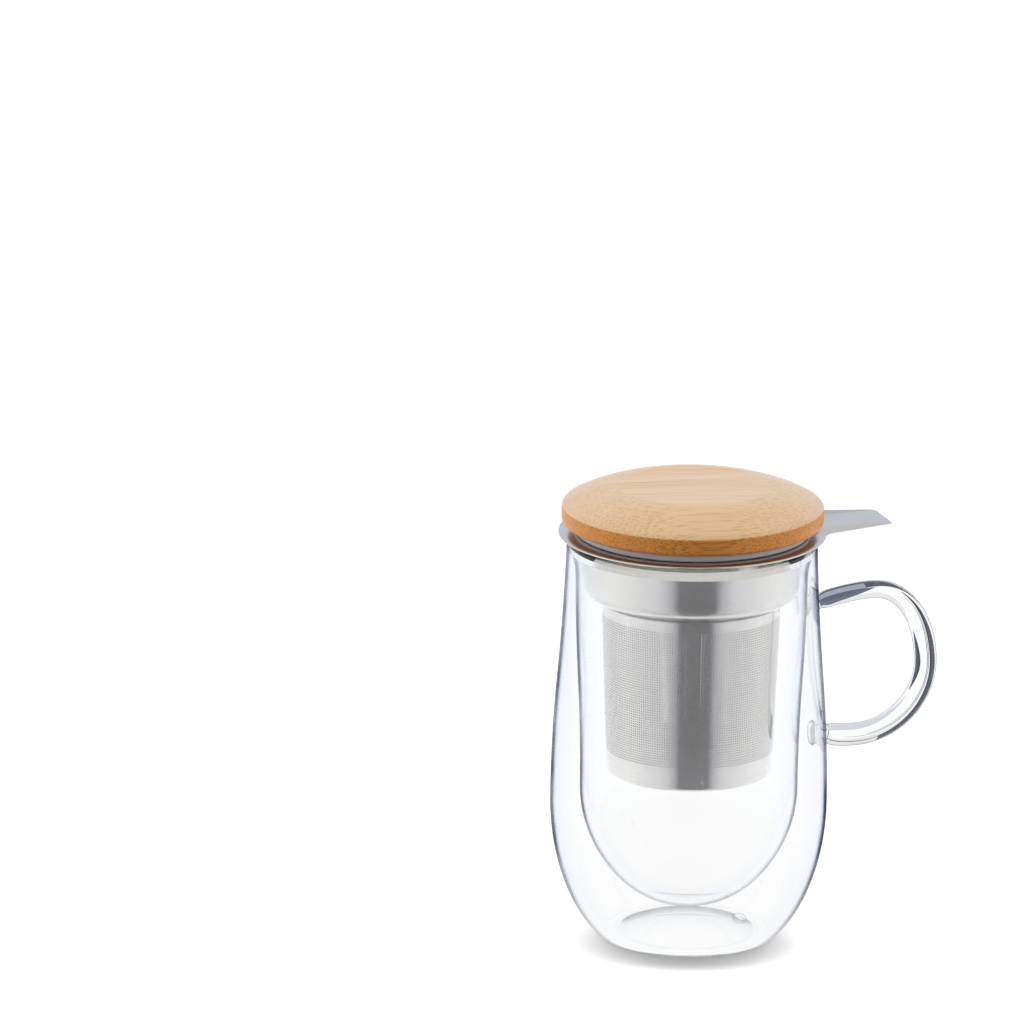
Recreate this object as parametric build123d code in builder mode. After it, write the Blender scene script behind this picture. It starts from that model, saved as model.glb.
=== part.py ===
from build123d import *
import os
from math import acos, asin, cos, degrees, radians, sin, sqrt, tan

# Double-walled glass tea cup with a lift-out steel infuser and a bamboo lid, in millimetres.
# The cup stands on its foot ring at z = 0, with its axis on Z and its handle along +X.
# The infuser hangs by its flange on the glass rim, and the lid sits in the infuser's collar.

# Shared values
overrun = 1.0  # how far a cutting shape runs past what it cuts
seat_clearance = 0.2  # between a lifted-out piece and the seat that it rests on
weld_clearance = 0.1  # between two pieces that are slipped together before they are fixed

# Outer wall of the cup
cup_height = 135.0  # table to the top of the rim
belly_diameter = 90.0
belly_height = 46.0
shoulder_draw = 3.4  # how much narrower than the belly the shoulder is
shoulder_height = 86.0  # where the side turns from bulging out to drawing in
outer_wall = 1.8
base_diameter = 57.0  # where the lower curve would meet the table without its rounding
lower_curve_share = 1.13  # half height of the lower ellipse over the belly's height
foot_rounding = 3.2  # inside the wall, at the outer edge of the foot ring
punt_diameter = 43.0
punt_height = 4.9
punt_rounding = 0.7  # inside the wall, at the inner edge of the foot ring
vent_offset = 18.3  # from the axis, on the handle's side
vent_diameter = 3.0
vent_bead_diameter = 4.8
vent_table_gap = 0.6  # left between the bead and the table

# Rim and inner bowl of the cup
rim_diameter = 81.4
rim_thickness = 2.8
rim_joint_depth = 5.0  # from the top of the rim to where the two walls part
mouth_diameter = 72.0  # clear width just under the rim
mouth_depth = 14.0  # from the top of the rim to where the bowl starts to flare to it
inner_wall = 1.6
bowl_diameter = 70.8  # outside of the bowl where its round end begins
bowl_floor_height = 10.5  # outside of the bowl's lowest point
bowl_bottom_radius = 32.0  # of the round bottom, which turns into a wider curve at the side
bowl_bottom_angle = 45.0
bowl_swell_share = 0.45  # how much of its widening the bowl has reached at the shoulder's height

# Handle
handle_reach = 85.0  # from the axis to the outside of the loop
rod_diameter = 7.4
handle_crest_height = 110.5  # of the rod's centre line where the loop is highest
handle_crest_reach = 63.0
handle_grip_height = 85.5  # where the loop reaches furthest out
handle_sag_height = 62.6  # of the rod's centre line where the loop is lowest
handle_sag_reach = 57.0
upper_root_height = 107.0
lower_root_height = 64.2
weld_disc_diameter = 8.6
neck_diameter = 6.0
neck_length = 2.2  # from the wall to the narrowest place
weld_length = 5.0  # from the wall to the full rod

# Infuser
sheet = 0.6
flange_diameter = 87.0
collar_clearance = 0.9  # to the glass on every side
collar_depth = 21.5  # from the flange's top to the underside of the shoulder
collar_bend = 2.0  # inside radius between the flange and the cylinder
shoulder_rounding = 6.0
tab_reach = 66.0  # from the axis to the tab's end
tab_end_width = 17.0
tab_side_angle = 13.0
tab_root_rounding = 7.0
tab_corner_rounding = 1.6
infuser_height = 80.0
basket_taper = 2.2  # how much the basket's radius shrinks towards its base
basket_sheet = 0.5
base_rounding = 1.6
base_rim_height = 5.0
hole_rows = 9
hole_columns = 31  # places round the basket, of which the one on the seam stays closed
hole_diameter = 3.0
seam_angle = -108.0  # round the axis from the tab to the basket's plain seam
upper_band = 4.5  # plain sheet between the collar and the holes
lower_band = 1.4  # plain sheet between the base's rim and the holes

# Lid
cap_diameter = 85.0
cap_flat_diameter = 47.6
cap_rise = 6.8  # from the top of the edge band to the flat top
cap_bulge = 0.9  # of the sloping ring over a straight cone
cap_band = 4.7
cap_edge_rounding = 0.8
cap_lower_rounding = 1.4
lip_diameter = 76.8
lip_height = 3.8  # from the flange to the underside of the cap
lip_groove = 0.8  # open gap between the lip and the cap
lip_rounding = 1.0
plug_clearance = 0.4
plug_depth = 7.3  # below the flange
seal_wall = 3.5  # thickness of the silicone round the spigot
pan_inset = 1.2  # from the plug's side to the pan's side
pan_depth = 2.4  # below the plug
pan_rounding = 1.8

# Sizes that follow from the values above
belly_radius = belly_diameter / 2
shoulder_radius = (belly_diameter - shoulder_draw) / 2
rim_radius = rim_diameter / 2
base_radius = base_diameter / 2
joint_height = cup_height - rim_joint_depth
curve_half_height = belly_height * lower_curve_share
curve_half_width = (belly_radius - base_radius) / (1 - sqrt(1 - 1 / lower_curve_share**2))
punt_radius = punt_diameter / 2
punt_sphere = (punt_radius**2 + punt_height**2) / (2 * punt_height)
bead_radius = rim_thickness / 2
mouth_radius = mouth_diameter / 2
mouth_height = cup_height - mouth_depth
bowl_radius = bowl_diameter / 2
bowl_bottom_turn = sin(radians(bowl_bottom_angle))
bowl_side_curve = (bowl_radius - bowl_bottom_radius * bowl_bottom_turn) / (1 - bowl_bottom_turn)
bowl_bottom_centre = bowl_floor_height + bowl_bottom_radius
bowl_height = bowl_bottom_centre + (bowl_side_curve - bowl_bottom_radius) * cos(radians(bowl_bottom_angle))
rod_radius = rod_diameter / 2
flange_radius = flange_diameter / 2
flange_low = cup_height + seat_clearance
flange_top = flange_low + sheet
collar_radius = mouth_radius - collar_clearance
collar_low = flange_top - collar_depth
bend_reach = collar_radius + collar_bend
basket_radius = collar_radius - shoulder_rounding
basket_low_radius = basket_radius - basket_taper
infuser_low = flange_top - infuser_height
cap_radius = cap_diameter / 2
lip_low = flange_top + seat_clearance
cap_low = lip_low + lip_height
band_top = cap_low + cap_band
cap_top = band_top + cap_rise
plug_radius = collar_radius - sheet - plug_clearance
plug_low = lip_low - plug_depth
pan_radius = plug_radius - pan_inset
pan_low = plug_low - pan_depth
spigot_radius = plug_radius - seal_wall - weld_clearance


def outer_wall_outline(inset, top):
    """Half outline of the outer wall, moved in by inset all round and closed off at top."""
    dome_radius = punt_sphere + inset
    dome_centre = punt_height - punt_sphere
    dome_angle = degrees(acos((inset - dome_centre) / dome_radius))
    curve_width = curve_half_width - inset
    curve_height = curve_half_height - inset
    curve_angle = degrees(asin((belly_height - inset) / curve_height))
    curve_centre = (belly_radius - curve_half_width, belly_height)
    with BuildSketch(Plane.XZ) as outline:
        with BuildLine():
            punt = CenterArc((0, dome_centre), dome_radius, 90 - dome_angle, dome_angle)
            curve = EllipticalCenterArc(
                curve_centre, curve_width, curve_height, -curve_angle, arc_size=curve_angle
            )
            Line(punt @ 0, curve @ 0)
            side = TangentArc(curve @ 1, (shoulder_radius - inset, shoulder_height), tangent=(0, 1))
            neck = TangentArc(side @ 1, (rim_radius - inset, joint_height), tangent=side % 1)
            Polyline(neck @ 1, (rim_radius - inset, top), (0, top), punt @ 1)
        make_face()
        fillet(vertices().group_by(Axis.Y)[0].sort_by(Axis.X)[-1], foot_rounding + outer_wall - inset)
        fillet(vertices().group_by(Axis.Y)[0].sort_by(Axis.X)[0], punt_rounding + outer_wall - inset)
    return outline.sketch


def wall_radius_at(height):
    """Outside radius of the outer wall at a height between the belly and the rim joint."""
    with BuildLine() as wall:
        side = TangentArc(
            (belly_radius, belly_height), (shoulder_radius, shoulder_height), tangent=(0, 1)
        )
        TangentArc(side @ 1, (rim_radius, joint_height), tangent=side % 1)
    level = Axis((0, height), (1, 0))
    crossings = [
        point.X for edge in wall.edges() for point in edge.find_intersection_points(level)
    ]
    return max(crossings)


def bowl_outline(inset, lip):
    """Half outline of the bowl, moved in by inset, which flares above its mouth to the point lip."""
    swell = bowl_radius + bowl_swell_share * (mouth_radius + inner_wall - bowl_radius)
    with BuildSketch(Plane.XZ) as outline:
        with BuildLine():
            bottom = CenterArc(
                (0, bowl_bottom_centre), bowl_bottom_radius - inset, -90, bowl_bottom_angle
            )
            curve = CenterArc(
                (bowl_radius - bowl_side_curve, bowl_height),
                bowl_side_curve - inset,
                bowl_bottom_angle - 90,
                90 - bowl_bottom_angle,
            )
            side = TangentArc(curve @ 1, (swell - inset, shoulder_height), tangent=(0, 1))
            mouth = (mouth_radius + inner_wall - inset, mouth_height)
            upper = TangentArc(side @ 1, mouth, tangent=side % 1)
            flare = TangentArc(upper @ 1, lip, tangent=upper % 1)
            Polyline(flare @ 1, (0, (flare @ 1).Y), bottom @ 0)
        make_face()
    return outline.sketch


# The outer wall is a blown shell, closed below by the punt and pierced by its vent.
with BuildPart() as outer_glass:
    revolve(outer_wall_outline(0, joint_height), axis=Axis.Z)
    revolve(
        outer_wall_outline(outer_wall, joint_height + overrun), axis=Axis.Z, mode=Mode.SUBTRACT
    )
    with Locations((vent_offset, 0, 0)):
        Cylinder(
            vent_diameter / 2,
            belly_height,
            align=(Align.CENTER, Align.CENTER, Align.MIN),
            mode=Mode.SUBTRACT,
        )
outer_glass.part.label = "outer_glass"

# The bowl flares to the rim, where a rounded bead joins it to the outer wall.
bead_height = cup_height - bead_radius
bead_centre = rim_radius - bead_radius
with BuildPart() as inner_glass:
    revolve(bowl_outline(0, (rim_radius - outer_wall, joint_height)), axis=Axis.Z)
    with BuildSketch(Plane.XZ):
        with BuildLine():
            bead = CenterArc((bead_centre, bead_height), bead_radius, 0, 180)
            Polyline(
                bead @ 1,
                (bead_centre - bead_radius, joint_height),
                (rim_radius, joint_height),
                bead @ 0,
            )
        make_face()
    revolve(axis=Axis.Z)
    revolve(
        bowl_outline(inner_wall, (bead_centre - bead_radius, bead_height)),
        axis=Axis.Z,
        mode=Mode.SUBTRACT,
    )
inner_glass.part.label = "inner_glass"

# The vent is closed by a melted bead, which fills the hole and stands proud on both sides.
vent_dome = punt_sphere + outer_wall / 2
vent_height = punt_height - punt_sphere + sqrt(vent_dome**2 - vent_offset**2)
with BuildPart() as vent_seal:
    with Locations((vent_offset, 0, vent_height)):
        Sphere(vent_bead_diameter / 2)
    with BuildSketch(Plane.XY.offset(vent_table_gap)):
        with Locations((vent_offset, 0)):
            Circle(vent_bead_diameter)
    extrude(amount=-vent_bead_diameter, mode=Mode.SUBTRACT)
    add(outer_glass.part, mode=Mode.SUBTRACT)
vent_seal.part.label = "vent_seal"

# The handle is a bent rod. Each end narrows to a neck and spreads again in its weld.
upper_root = (wall_radius_at(upper_root_height), upper_root_height)
lower_root = (wall_radius_at(lower_root_height), lower_root_height)
grip_reach = handle_reach - rod_radius
with BuildLine(Plane.XZ) as rod_line:
    TangentArc((handle_crest_reach, handle_crest_height), upper_root, tangent=(-1, 0))
    EllipticalCenterArc(
        (handle_crest_reach, handle_grip_height),
        grip_reach - handle_crest_reach,
        handle_crest_height - handle_grip_height,
        90,
        arc_size=-90,
    )
    EllipticalCenterArc(
        (handle_sag_reach, handle_grip_height),
        grip_reach - handle_sag_reach,
        handle_grip_height - handle_sag_height,
        0,
        arc_size=-90,
    )
    TangentArc((handle_sag_reach, handle_sag_height), lower_root, tangent=(-1, 0))
rod_path = rod_line.wire()
weld_share = weld_length / rod_path.length
rod_path = rod_path.trim(weld_share, 1 - weld_share)

with BuildPart() as cup_form:
    revolve(outer_wall_outline(0, joint_height), axis=Axis.Z)

with BuildPart() as handle:
    with BuildSketch(Plane(rod_path @ 0, z_dir=rod_path % 0)):
        Circle(rod_radius)
    sweep(path=rod_path)
    for end, outward in ((rod_path @ 0, rod_path % 0), (rod_path @ 1, -(rod_path % 1))):
        inward = -outward
        weld_plane = Plane(end, x_dir=inward, z_dir=(0, 1, 0))
        with BuildSketch(weld_plane):
            with BuildLine():
                side = Spline(
                    (0, rod_radius),
                    (weld_length - neck_length, neck_diameter / 2),
                    (weld_length, weld_disc_diameter / 2),
                    tangents=((1, 0), (1, 1)),
                )
                Polyline(
                    side @ 1,
                    (weld_length + rod_radius, weld_disc_diameter / 2),
                    (weld_length + rod_radius, 0),
                    (0, 0),
                    side @ 0,
                )
            make_face()
        revolve(axis=Axis(end, inward))
    add(cup_form.part, mode=Mode.SUBTRACT)
handle.part.label = "handle"

# The collar hangs on the rim by its flange. The tab for lifting it is part of the flange.
tab_end = tab_end_width / 2
tab_root = tab_end + (tab_reach - bend_reach) * tan(radians(tab_side_angle))
with BuildPart() as infuser_collar:
    with BuildSketch(Plane.XY.offset(flange_low)):
        Circle(flange_radius)
        with BuildLine():
            Polyline(
                (bend_reach, tab_root),
                (tab_reach, tab_end),
                (tab_reach, -tab_end),
                (bend_reach, -tab_root),
                close=True,
            )
        make_face()
        fillet(vertices().sort_by(Axis.X)[-4:-2], tab_root_rounding)
        fillet(vertices().sort_by(Axis.X)[-2:], tab_corner_rounding)
        Circle(bend_reach, mode=Mode.SUBTRACT)
    extrude(amount=sheet)
    with BuildSketch(Plane.XZ):
        with BuildLine():
            bend_height = flange_low - collar_bend
            turn_height = collar_low + shoulder_rounding
            turn_reach = collar_radius - shoulder_rounding
            floor_reach = basket_radius - basket_sheet
            lower_bend = CenterArc((bend_reach, bend_height), collar_bend, 90, 90)
            upper_bend = CenterArc((bend_reach, bend_height), collar_bend + sheet, 90, 90)
            outer_turn = CenterArc((turn_reach, turn_height), shoulder_rounding, 0, -90)
            inner_turn = CenterArc((turn_reach, turn_height), shoulder_rounding - sheet, 0, -90)
            Line(lower_bend @ 0, upper_bend @ 0)
            Line(lower_bend @ 1, outer_turn @ 0)
            Line(upper_bend @ 1, inner_turn @ 0)
            Polyline(
                outer_turn @ 1,
                (floor_reach, collar_low),
                (floor_reach, collar_low + sheet),
                inner_turn @ 1,
            )
        make_face()
    revolve(axis=Axis.Z)
infuser_collar.part.label = "infuser_collar"

# The basket is a tapered tube of thin sheet, welded to the underside of the collar's shoulder.
# Its holes are drilled square to the axis, in rows and columns. Each stands for about forty of the real,
# much finer ones and leaves as large a share of the sheet open.
basket_low = infuser_low + base_rounding
hole_radius = hole_diameter / 2
highest_row = collar_low - upper_band - hole_radius
lowest_row = basket_low + base_rim_height + lower_band + hole_radius
row_pitch = (highest_row - lowest_row) / (hole_rows - 1)
drill_start = basket_low_radius - basket_sheet - overrun
drill_length = basket_taper + basket_sheet + 2 * overrun
with BuildPart() as infuser_basket:
    with BuildSketch(Plane.XZ):
        with BuildLine():
            Polyline(
                (basket_radius, collar_low),
                (basket_low_radius, basket_low),
                (basket_low_radius - basket_sheet, basket_low),
                (basket_radius - basket_sheet, collar_low),
                close=True,
            )
        make_face()
    revolve(axis=Axis.Z)
    hole_places = [
        Rot(Z=seam_angle + 360 * column / hole_columns)
        * Pos(drill_start, 0, lowest_row + row * row_pitch)
        * Rot(Y=90)
        for row in range(hole_rows)
        for column in range(1, hole_columns)
    ]
    with Locations(*hole_places):
        Cylinder(
            hole_radius,
            drill_length,
            align=(Align.CENTER, Align.CENTER, Align.MIN),
            mode=Mode.SUBTRACT,
        )
infuser_basket.part.label = "infuser_basket"

# The base is a pressed cup. Its rim steps in and stands inside the basket's lower edge.
base_rim_radius = basket_low_radius - basket_sheet - weld_clearance
with BuildPart() as infuser_base:
    with BuildSketch(Plane.XZ):
        with BuildLine():
            base_corner = CenterArc(
                (basket_low_radius - base_rounding, basket_low), base_rounding, -90, 90
            )
            Polyline(
                base_corner @ 1,
                (base_rim_radius, basket_low),
                (base_rim_radius, basket_low + base_rim_height),
                (base_rim_radius - sheet, basket_low + base_rim_height),
                (base_rim_radius - sheet, infuser_low + sheet),
                (0, infuser_low + sheet),
                (0, infuser_low),
                base_corner @ 0,
            )
        make_face()
    revolve(axis=Axis.Z)
infuser_base.part.label = "infuser_base"

# The cap is turned from laminated bamboo, with a spigot that carries the seal and the pan.
spigot_low = pan_low + sheet
with BuildPart() as lid_cap:
    with BuildSketch(Plane.XZ):
        with BuildLine():
            slope = SagittaArc((cap_flat_diameter / 2, cap_top), (cap_radius, band_top), cap_bulge)
            Polyline(
                slope @ 1,
                (cap_radius, cap_low),
                (spigot_radius, cap_low),
                (spigot_radius, spigot_low),
                (0, spigot_low),
                (0, cap_top),
                slope @ 0,
            )
        make_face()
        edge = vertices().group_by(Axis.X)[-1].sort_by(Axis.Y)
        fillet(edge[0], cap_lower_rounding)
        fillet(edge[-1], cap_edge_rounding)
    revolve(axis=Axis.Z)
lid_cap.part.label = "lid_cap"

# The seal is a silicone ring: a plug that fills the collar, and a lip that rests on the flange.
with BuildPart() as lid_seal:
    with BuildSketch(Plane.XZ):
        with BuildLine():
            seal_bore = spigot_radius + weld_clearance
            lip_radius = lip_diameter / 2
            lip_top = cap_low - lip_groove
            Polyline(
                (seal_bore, plug_low),
                (plug_radius, plug_low),
                (plug_radius, lip_low),
                (lip_radius, lip_low),
                (lip_radius, lip_top),
                (plug_radius, lip_top),
                (plug_radius, cap_low),
                (seal_bore, cap_low),
                close=True,
            )
        make_face()
        fillet(vertices().group_by(Axis.X)[-1], lip_rounding)
    revolve(axis=Axis.Z)
lid_seal.part.label = "lid_seal"

# The pan is pressed from sheet and closes the lid's underside.
with BuildPart() as lid_pan:
    with BuildSketch(Plane.XZ):
        with BuildLine():
            pan_turn = (pan_radius - pan_rounding, pan_low + pan_rounding)
            outer_corner = CenterArc(pan_turn, pan_rounding, -90, 90)
            inner_corner = CenterArc(pan_turn, pan_rounding - sheet, -90, 90)
            Polyline(
                outer_corner @ 1,
                (pan_radius, plug_low),
                (pan_radius - sheet, plug_low),
                inner_corner @ 1,
            )
            Polyline(inner_corner @ 0, (0, pan_low + sheet), (0, pan_low), outer_corner @ 0)
        make_face()
    revolve(axis=Axis.Z)
lid_pan.part.label = "lid_pan"

os.makedirs("parts", exist_ok=True)
for piece in (
    outer_glass,
    inner_glass,
    vent_seal,
    handle,
    infuser_collar,
    infuser_basket,
    infuser_base,
    lid_cap,
    lid_seal,
    lid_pan,
):
    export_step(piece.part, f"parts/{piece.part.label}.step")
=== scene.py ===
"""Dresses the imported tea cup: blown double-walled glass, a perforated steel infuser and a bamboo lid.

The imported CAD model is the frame. Each new surface is worked out with numpy in millimetres, in that frame:
Z up along the cup's axis, the handle along +X and the foot ring on z = 0.
"""
import logging
from dataclasses import dataclass
from enum import Enum
from math import atan2, cos, degrees, pi, radians, sin, sqrt
from typing import Any, Optional, Union

import bpy
import bmesh
import numpy as np
from mathutils import Matrix, Vector


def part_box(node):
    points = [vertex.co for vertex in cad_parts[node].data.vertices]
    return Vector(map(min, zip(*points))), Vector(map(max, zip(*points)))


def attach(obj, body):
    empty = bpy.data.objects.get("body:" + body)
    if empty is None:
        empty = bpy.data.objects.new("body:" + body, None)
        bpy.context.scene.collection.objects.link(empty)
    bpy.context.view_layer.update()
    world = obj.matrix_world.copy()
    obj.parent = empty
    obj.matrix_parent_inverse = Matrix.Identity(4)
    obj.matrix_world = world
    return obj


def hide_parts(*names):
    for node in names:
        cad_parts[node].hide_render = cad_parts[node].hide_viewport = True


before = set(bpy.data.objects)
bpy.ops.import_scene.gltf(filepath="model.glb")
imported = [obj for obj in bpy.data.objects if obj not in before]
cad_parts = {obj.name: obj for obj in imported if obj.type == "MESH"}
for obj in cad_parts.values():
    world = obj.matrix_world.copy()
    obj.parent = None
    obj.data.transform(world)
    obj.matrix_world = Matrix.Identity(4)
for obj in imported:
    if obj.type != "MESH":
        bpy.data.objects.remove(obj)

log = logging.getLogger("tea_cup")

MM = 0.001
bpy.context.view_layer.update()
SAME_POINT = 1e-6  # millimetres within which two points of a curve are one
SAME_VERTEX = 1e-7  # metres within which two vertices of a mesh are one
SHARP_ANGLE = 40.0  # degrees past which an edge stays sharp, where a piece needs no other

Points = np.ndarray
Range = tuple[float, float]
Material = bpy.types.Material
Node = bpy.types.Node
Socket = bpy.types.NodeSocket
Tree = bpy.types.NodeTree
Source = Union[float, tuple, Node, Socket]


class Body(Enum):
    """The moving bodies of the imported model."""

    CUP = "cup"
    INFUSER = "infuser"
    LID = "lid"


class Slot(Enum):
    """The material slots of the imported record."""

    GLASS = "clear_glass"
    STEEL = "polished_steel"
    BAMBOO = "bamboo"
    SILICONE = "silicone"


class SteelGrade(Enum):
    """How the steel sheet was finished, as the roughness of its upright and of its level faces.

    A die polishes the walls that it draws, and leaves the level sheet satin.
    """

    POLISHED = (0.07, 0.07)
    DRAWN = (0.07, 0.25)


class GlassStock(Enum):
    """The stock of a glass part, with where its outline's painted shade stops being clear
    and turns tinted, pale, dark and black.

    Each place is how far the surface turns from the eye: 0 faces it and 1 is seen edge on.
    """

    TUBE = (0.4, 0.72, 0.77, 0.815, 0.91)
    ROD = (0.45, 0.62, 0.76, 0.9, 0.98)


def box_mm(node: str) -> tuple[Points, Points]:
    """Lowest and highest corner of a CAD node at rest.

    Args:
        node: Name of the node.

    Returns:
        The two corners, in millimetres.
    """
    low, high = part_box(node)
    return np.array(low) / MM, np.array(high) / MM


def linear(hex_colour: str) -> tuple[float, float, float, float]:
    """Turns an sRGB hex colour into linear red, green, blue and alpha.

    Args:
        hex_colour: Six hex digits after a hash sign.

    Returns:
        The linear colour with an alpha of 1.
    """
    srgb = np.array([int(hex_colour[start : start + 2], 16) for start in (1, 3, 5)]) / 255
    low, high = srgb / 12.92, ((srgb + 0.055) / 1.055) ** 2.4
    return (*np.where(srgb <= 0.04045, low, high).tolist(), 1.0)


def add_node(
    tree: Tree,
    kind: str,
    inputs: Union[tuple[Source, ...], dict[Union[str, int], Source]] = (),
    stops: Optional[dict[float, str]] = None,
    **settings: Any,
) -> Node:
    """Adds a shader node, sets its properties and fills its inputs.

    Args:
        tree: The node tree that gets the node.
        kind: Blender's name for the kind of node, after ShaderNode.
        inputs: What each input gets, in order, or by name or number. A node gives its first output in use.
        stops: For a colour ramp, the sRGB hex colour at each position, in rising order.
        **settings: Properties of the node.

    Returns:
        The new node.
    """
    node = tree.nodes.new(f"ShaderNode{kind}")
    for name, value in settings.items():
        setattr(node, name, value)
    for key, value in inputs.items() if isinstance(inputs, dict) else enumerate(inputs):
        if isinstance(value, Node):
            value = next(socket for socket in value.outputs if socket.enabled)
        if isinstance(value, Socket):
            tree.links.new(value, node.inputs[key])
        else:
            node.inputs[key].default_value = value
    if stops:
        elements = node.color_ramp.elements
        while len(elements) < len(stops):
            elements.new(0.5)
        for element, (position, colour) in zip(elements, stops.items()):
            element.position = position
            element.color = linear(colour)
    return node


def new_material(name: str) -> tuple[Material, Tree]:
    """Makes an empty node material.

    Args:
        name: Name of the material.

    Returns:
        The material and its node tree.
    """
    material = bpy.data.materials.new(name)
    material.use_nodes = True
    material.node_tree.nodes.clear()
    return material, material.node_tree


def ellipse_arc(
    centre: tuple[float, float], width: float, height: float, start: float, sweep: float, count: int
) -> Points:
    """Points on an upright ellipse: centre plus (width cos a, height sin a), with a in even steps.

    Args:
        centre: Centre of the ellipse.
        width: Half its width.
        height: Half its height.
        start: First parameter angle, in degrees.
        sweep: Signed angle to the last point, in degrees.
        count: Number of points.

    Returns:
        Array of count rows of two.
    """
    angle = np.radians(np.linspace(start, start + sweep, count))
    return np.stack([centre[0] + width * np.cos(angle), centre[1] + height * np.sin(angle)], axis=1)


def arc(centre: tuple[float, float], radius: float, start: float, sweep: float, count: int) -> Points:
    """Points on a circle's arc: an ellipse's with one radius, and the same arguments."""
    return ellipse_arc(centre, radius, radius, start, sweep, count)


def tangent_arc(start: Points, end: Points, heading: Points, count: int) -> Points:
    """Points on the circle's arc that leaves start along heading and reaches end.

    The centre lies on the normal of the heading, at half the chord's square over its share along that normal.

    Args:
        start: First point.
        end: Last point.
        heading: Direction at the first point.
        count: Number of points.

    Returns:
        Array of count rows of two.
    """
    start, end, heading = (np.asarray(value, float) for value in (start, end, heading))
    normal = np.array([-heading[1], heading[0]]) / np.linalg.norm(heading)
    chord = end - start
    offset = chord @ chord / (2 * (chord @ normal))
    centre = start + offset * normal
    first = atan2(*(start - centre)[::-1])
    turn = 2 * atan2(chord @ normal, chord @ heading / np.linalg.norm(heading))
    angle = first + np.linspace(0, turn, count)
    return centre + abs(offset) * np.stack([np.cos(angle), np.sin(angle)], axis=1)


def last_heading(curve: Points) -> Points:
    """Direction of a curve's end, by a parabola through its last three points."""
    return 3 * curve[-1] - 4 * curve[-2] + curve[-3]


def chain(*curves: Union[Points, list]) -> Points:
    """Joins curves end to end and drops points that fall on the one before.

    Args:
        *curves: Arrays or lists of points.

    Returns:
        One array of points.
    """
    joined = np.concatenate([np.asarray(curve, float) for curve in curves])
    step = np.linalg.norm(np.diff(joined, axis=0), axis=1)
    return joined[np.concatenate([[True], step > SAME_POINT])]


def resample(curve: Points, spacing: float) -> Points:
    """Adds points on a curve's straight stretches so that none is longer than spacing.

    Args:
        curve: Array of points.
        spacing: Longest step allowed.

    Returns:
        The curve with its own points kept and others in between.
    """
    steps = np.linalg.norm(np.diff(curve, axis=0), axis=1)
    parts = np.maximum(1, np.ceil(steps / spacing)).astype(int)
    place = np.concatenate([index + np.arange(count) / count for index, count in enumerate(parts)])
    place = np.append(place, len(curve) - 1)
    return np.stack([np.interp(place, np.arange(len(curve)), column) for column in curve.T], axis=1)


def run_length(curve: Points) -> Points:
    """Length along a curve up to each of its points."""
    return np.concatenate([[0], np.cumsum(np.linalg.norm(np.diff(curve, axis=0), axis=1))])


def at_length(curve: Points, place: Points) -> Points:
    """Points of a curve at given lengths along it.

    Args:
        curve: Array of points.
        place: The lengths from its start.

    Returns:
        One row for each length.
    """
    length = run_length(curve)
    return np.stack([np.interp(place, length, column) for column in curve.T], axis=1)


@dataclass
class Surface:
    """A grid of points with faces between neighbours, which turn from the columns to the rows.

    Attributes:
        grid: Points by row and column, in millimetres.
        closed_rows: True if the last row joins the first.
        closed_columns: True if the last column joins the first.
    """

    grid: Points
    closed_rows: bool = False
    closed_columns: bool = True

    def faces(self) -> Points:
        """Numbers the corners of each face, worked out from the grid's shape.

        Returns:
            Rows of four vertex numbers.
        """
        rows, columns = self.grid.shape[:2]
        row = np.arange(rows if self.closed_rows else rows - 1)[:, None]
        column = np.arange(columns if self.closed_columns else columns - 1)[None, :]
        row_next, column_next = (row + 1) % rows, (column + 1) % columns
        corners = ((row, column), (row, column_next), (row_next, column_next), (row_next, column))
        numbers = [at_row * columns + at_column for at_row, at_column in corners]
        return np.stack(numbers, axis=-1).reshape(-1, 4)


def lathe(profile: Points, turns: int, closed: bool = False) -> Surface:
    """Turns a profile of radius and height round the Z axis: (r cos a, r sin a, z).

    Args:
        profile: Rows of radius and height. On the way up, faces look away from the axis.
        turns: Number of columns.
        closed: True if the profile is a closed ring.

    Returns:
        The turned surface.
    """
    angle = np.linspace(0, 2 * pi, turns, endpoint=False)
    radius, height = profile[:, :1], np.broadcast_to(profile[:, 1:], (len(profile), turns))
    return Surface(np.stack([radius * np.cos(angle), radius * np.sin(angle), height], axis=-1), closed)


def surfaces_mesh(name: str, surfaces: list[Surface]) -> bpy.types.Mesh:
    """Puts surfaces into one new mesh.

    Args:
        name: Name of the mesh.
        surfaces: The surfaces.

    Returns:
        The mesh, in metres.
    """
    counts = [surface.grid.shape[0] * surface.grid.shape[1] for surface in surfaces]
    starts = np.concatenate([[0], np.cumsum(counts)[:-1]])
    points = np.concatenate([surface.grid.reshape(-1, 3) for surface in surfaces])
    faces = np.concatenate([surface.faces() + start for surface, start in zip(surfaces, starts)])
    mesh = bpy.data.meshes.new(name)
    mesh.vertices.add(len(points))
    mesh.vertices.foreach_set("co", (points * MM).astype(np.float32).ravel())
    mesh.loops.add(faces.size)
    mesh.loops.foreach_set("vertex_index", faces.astype(np.int32).ravel())
    mesh.polygons.add(len(faces))
    mesh.polygons.foreach_set("loop_start", np.arange(0, faces.size, faces.shape[1], dtype=np.int32))
    mesh.update(calc_edges=True)
    return mesh


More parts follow.
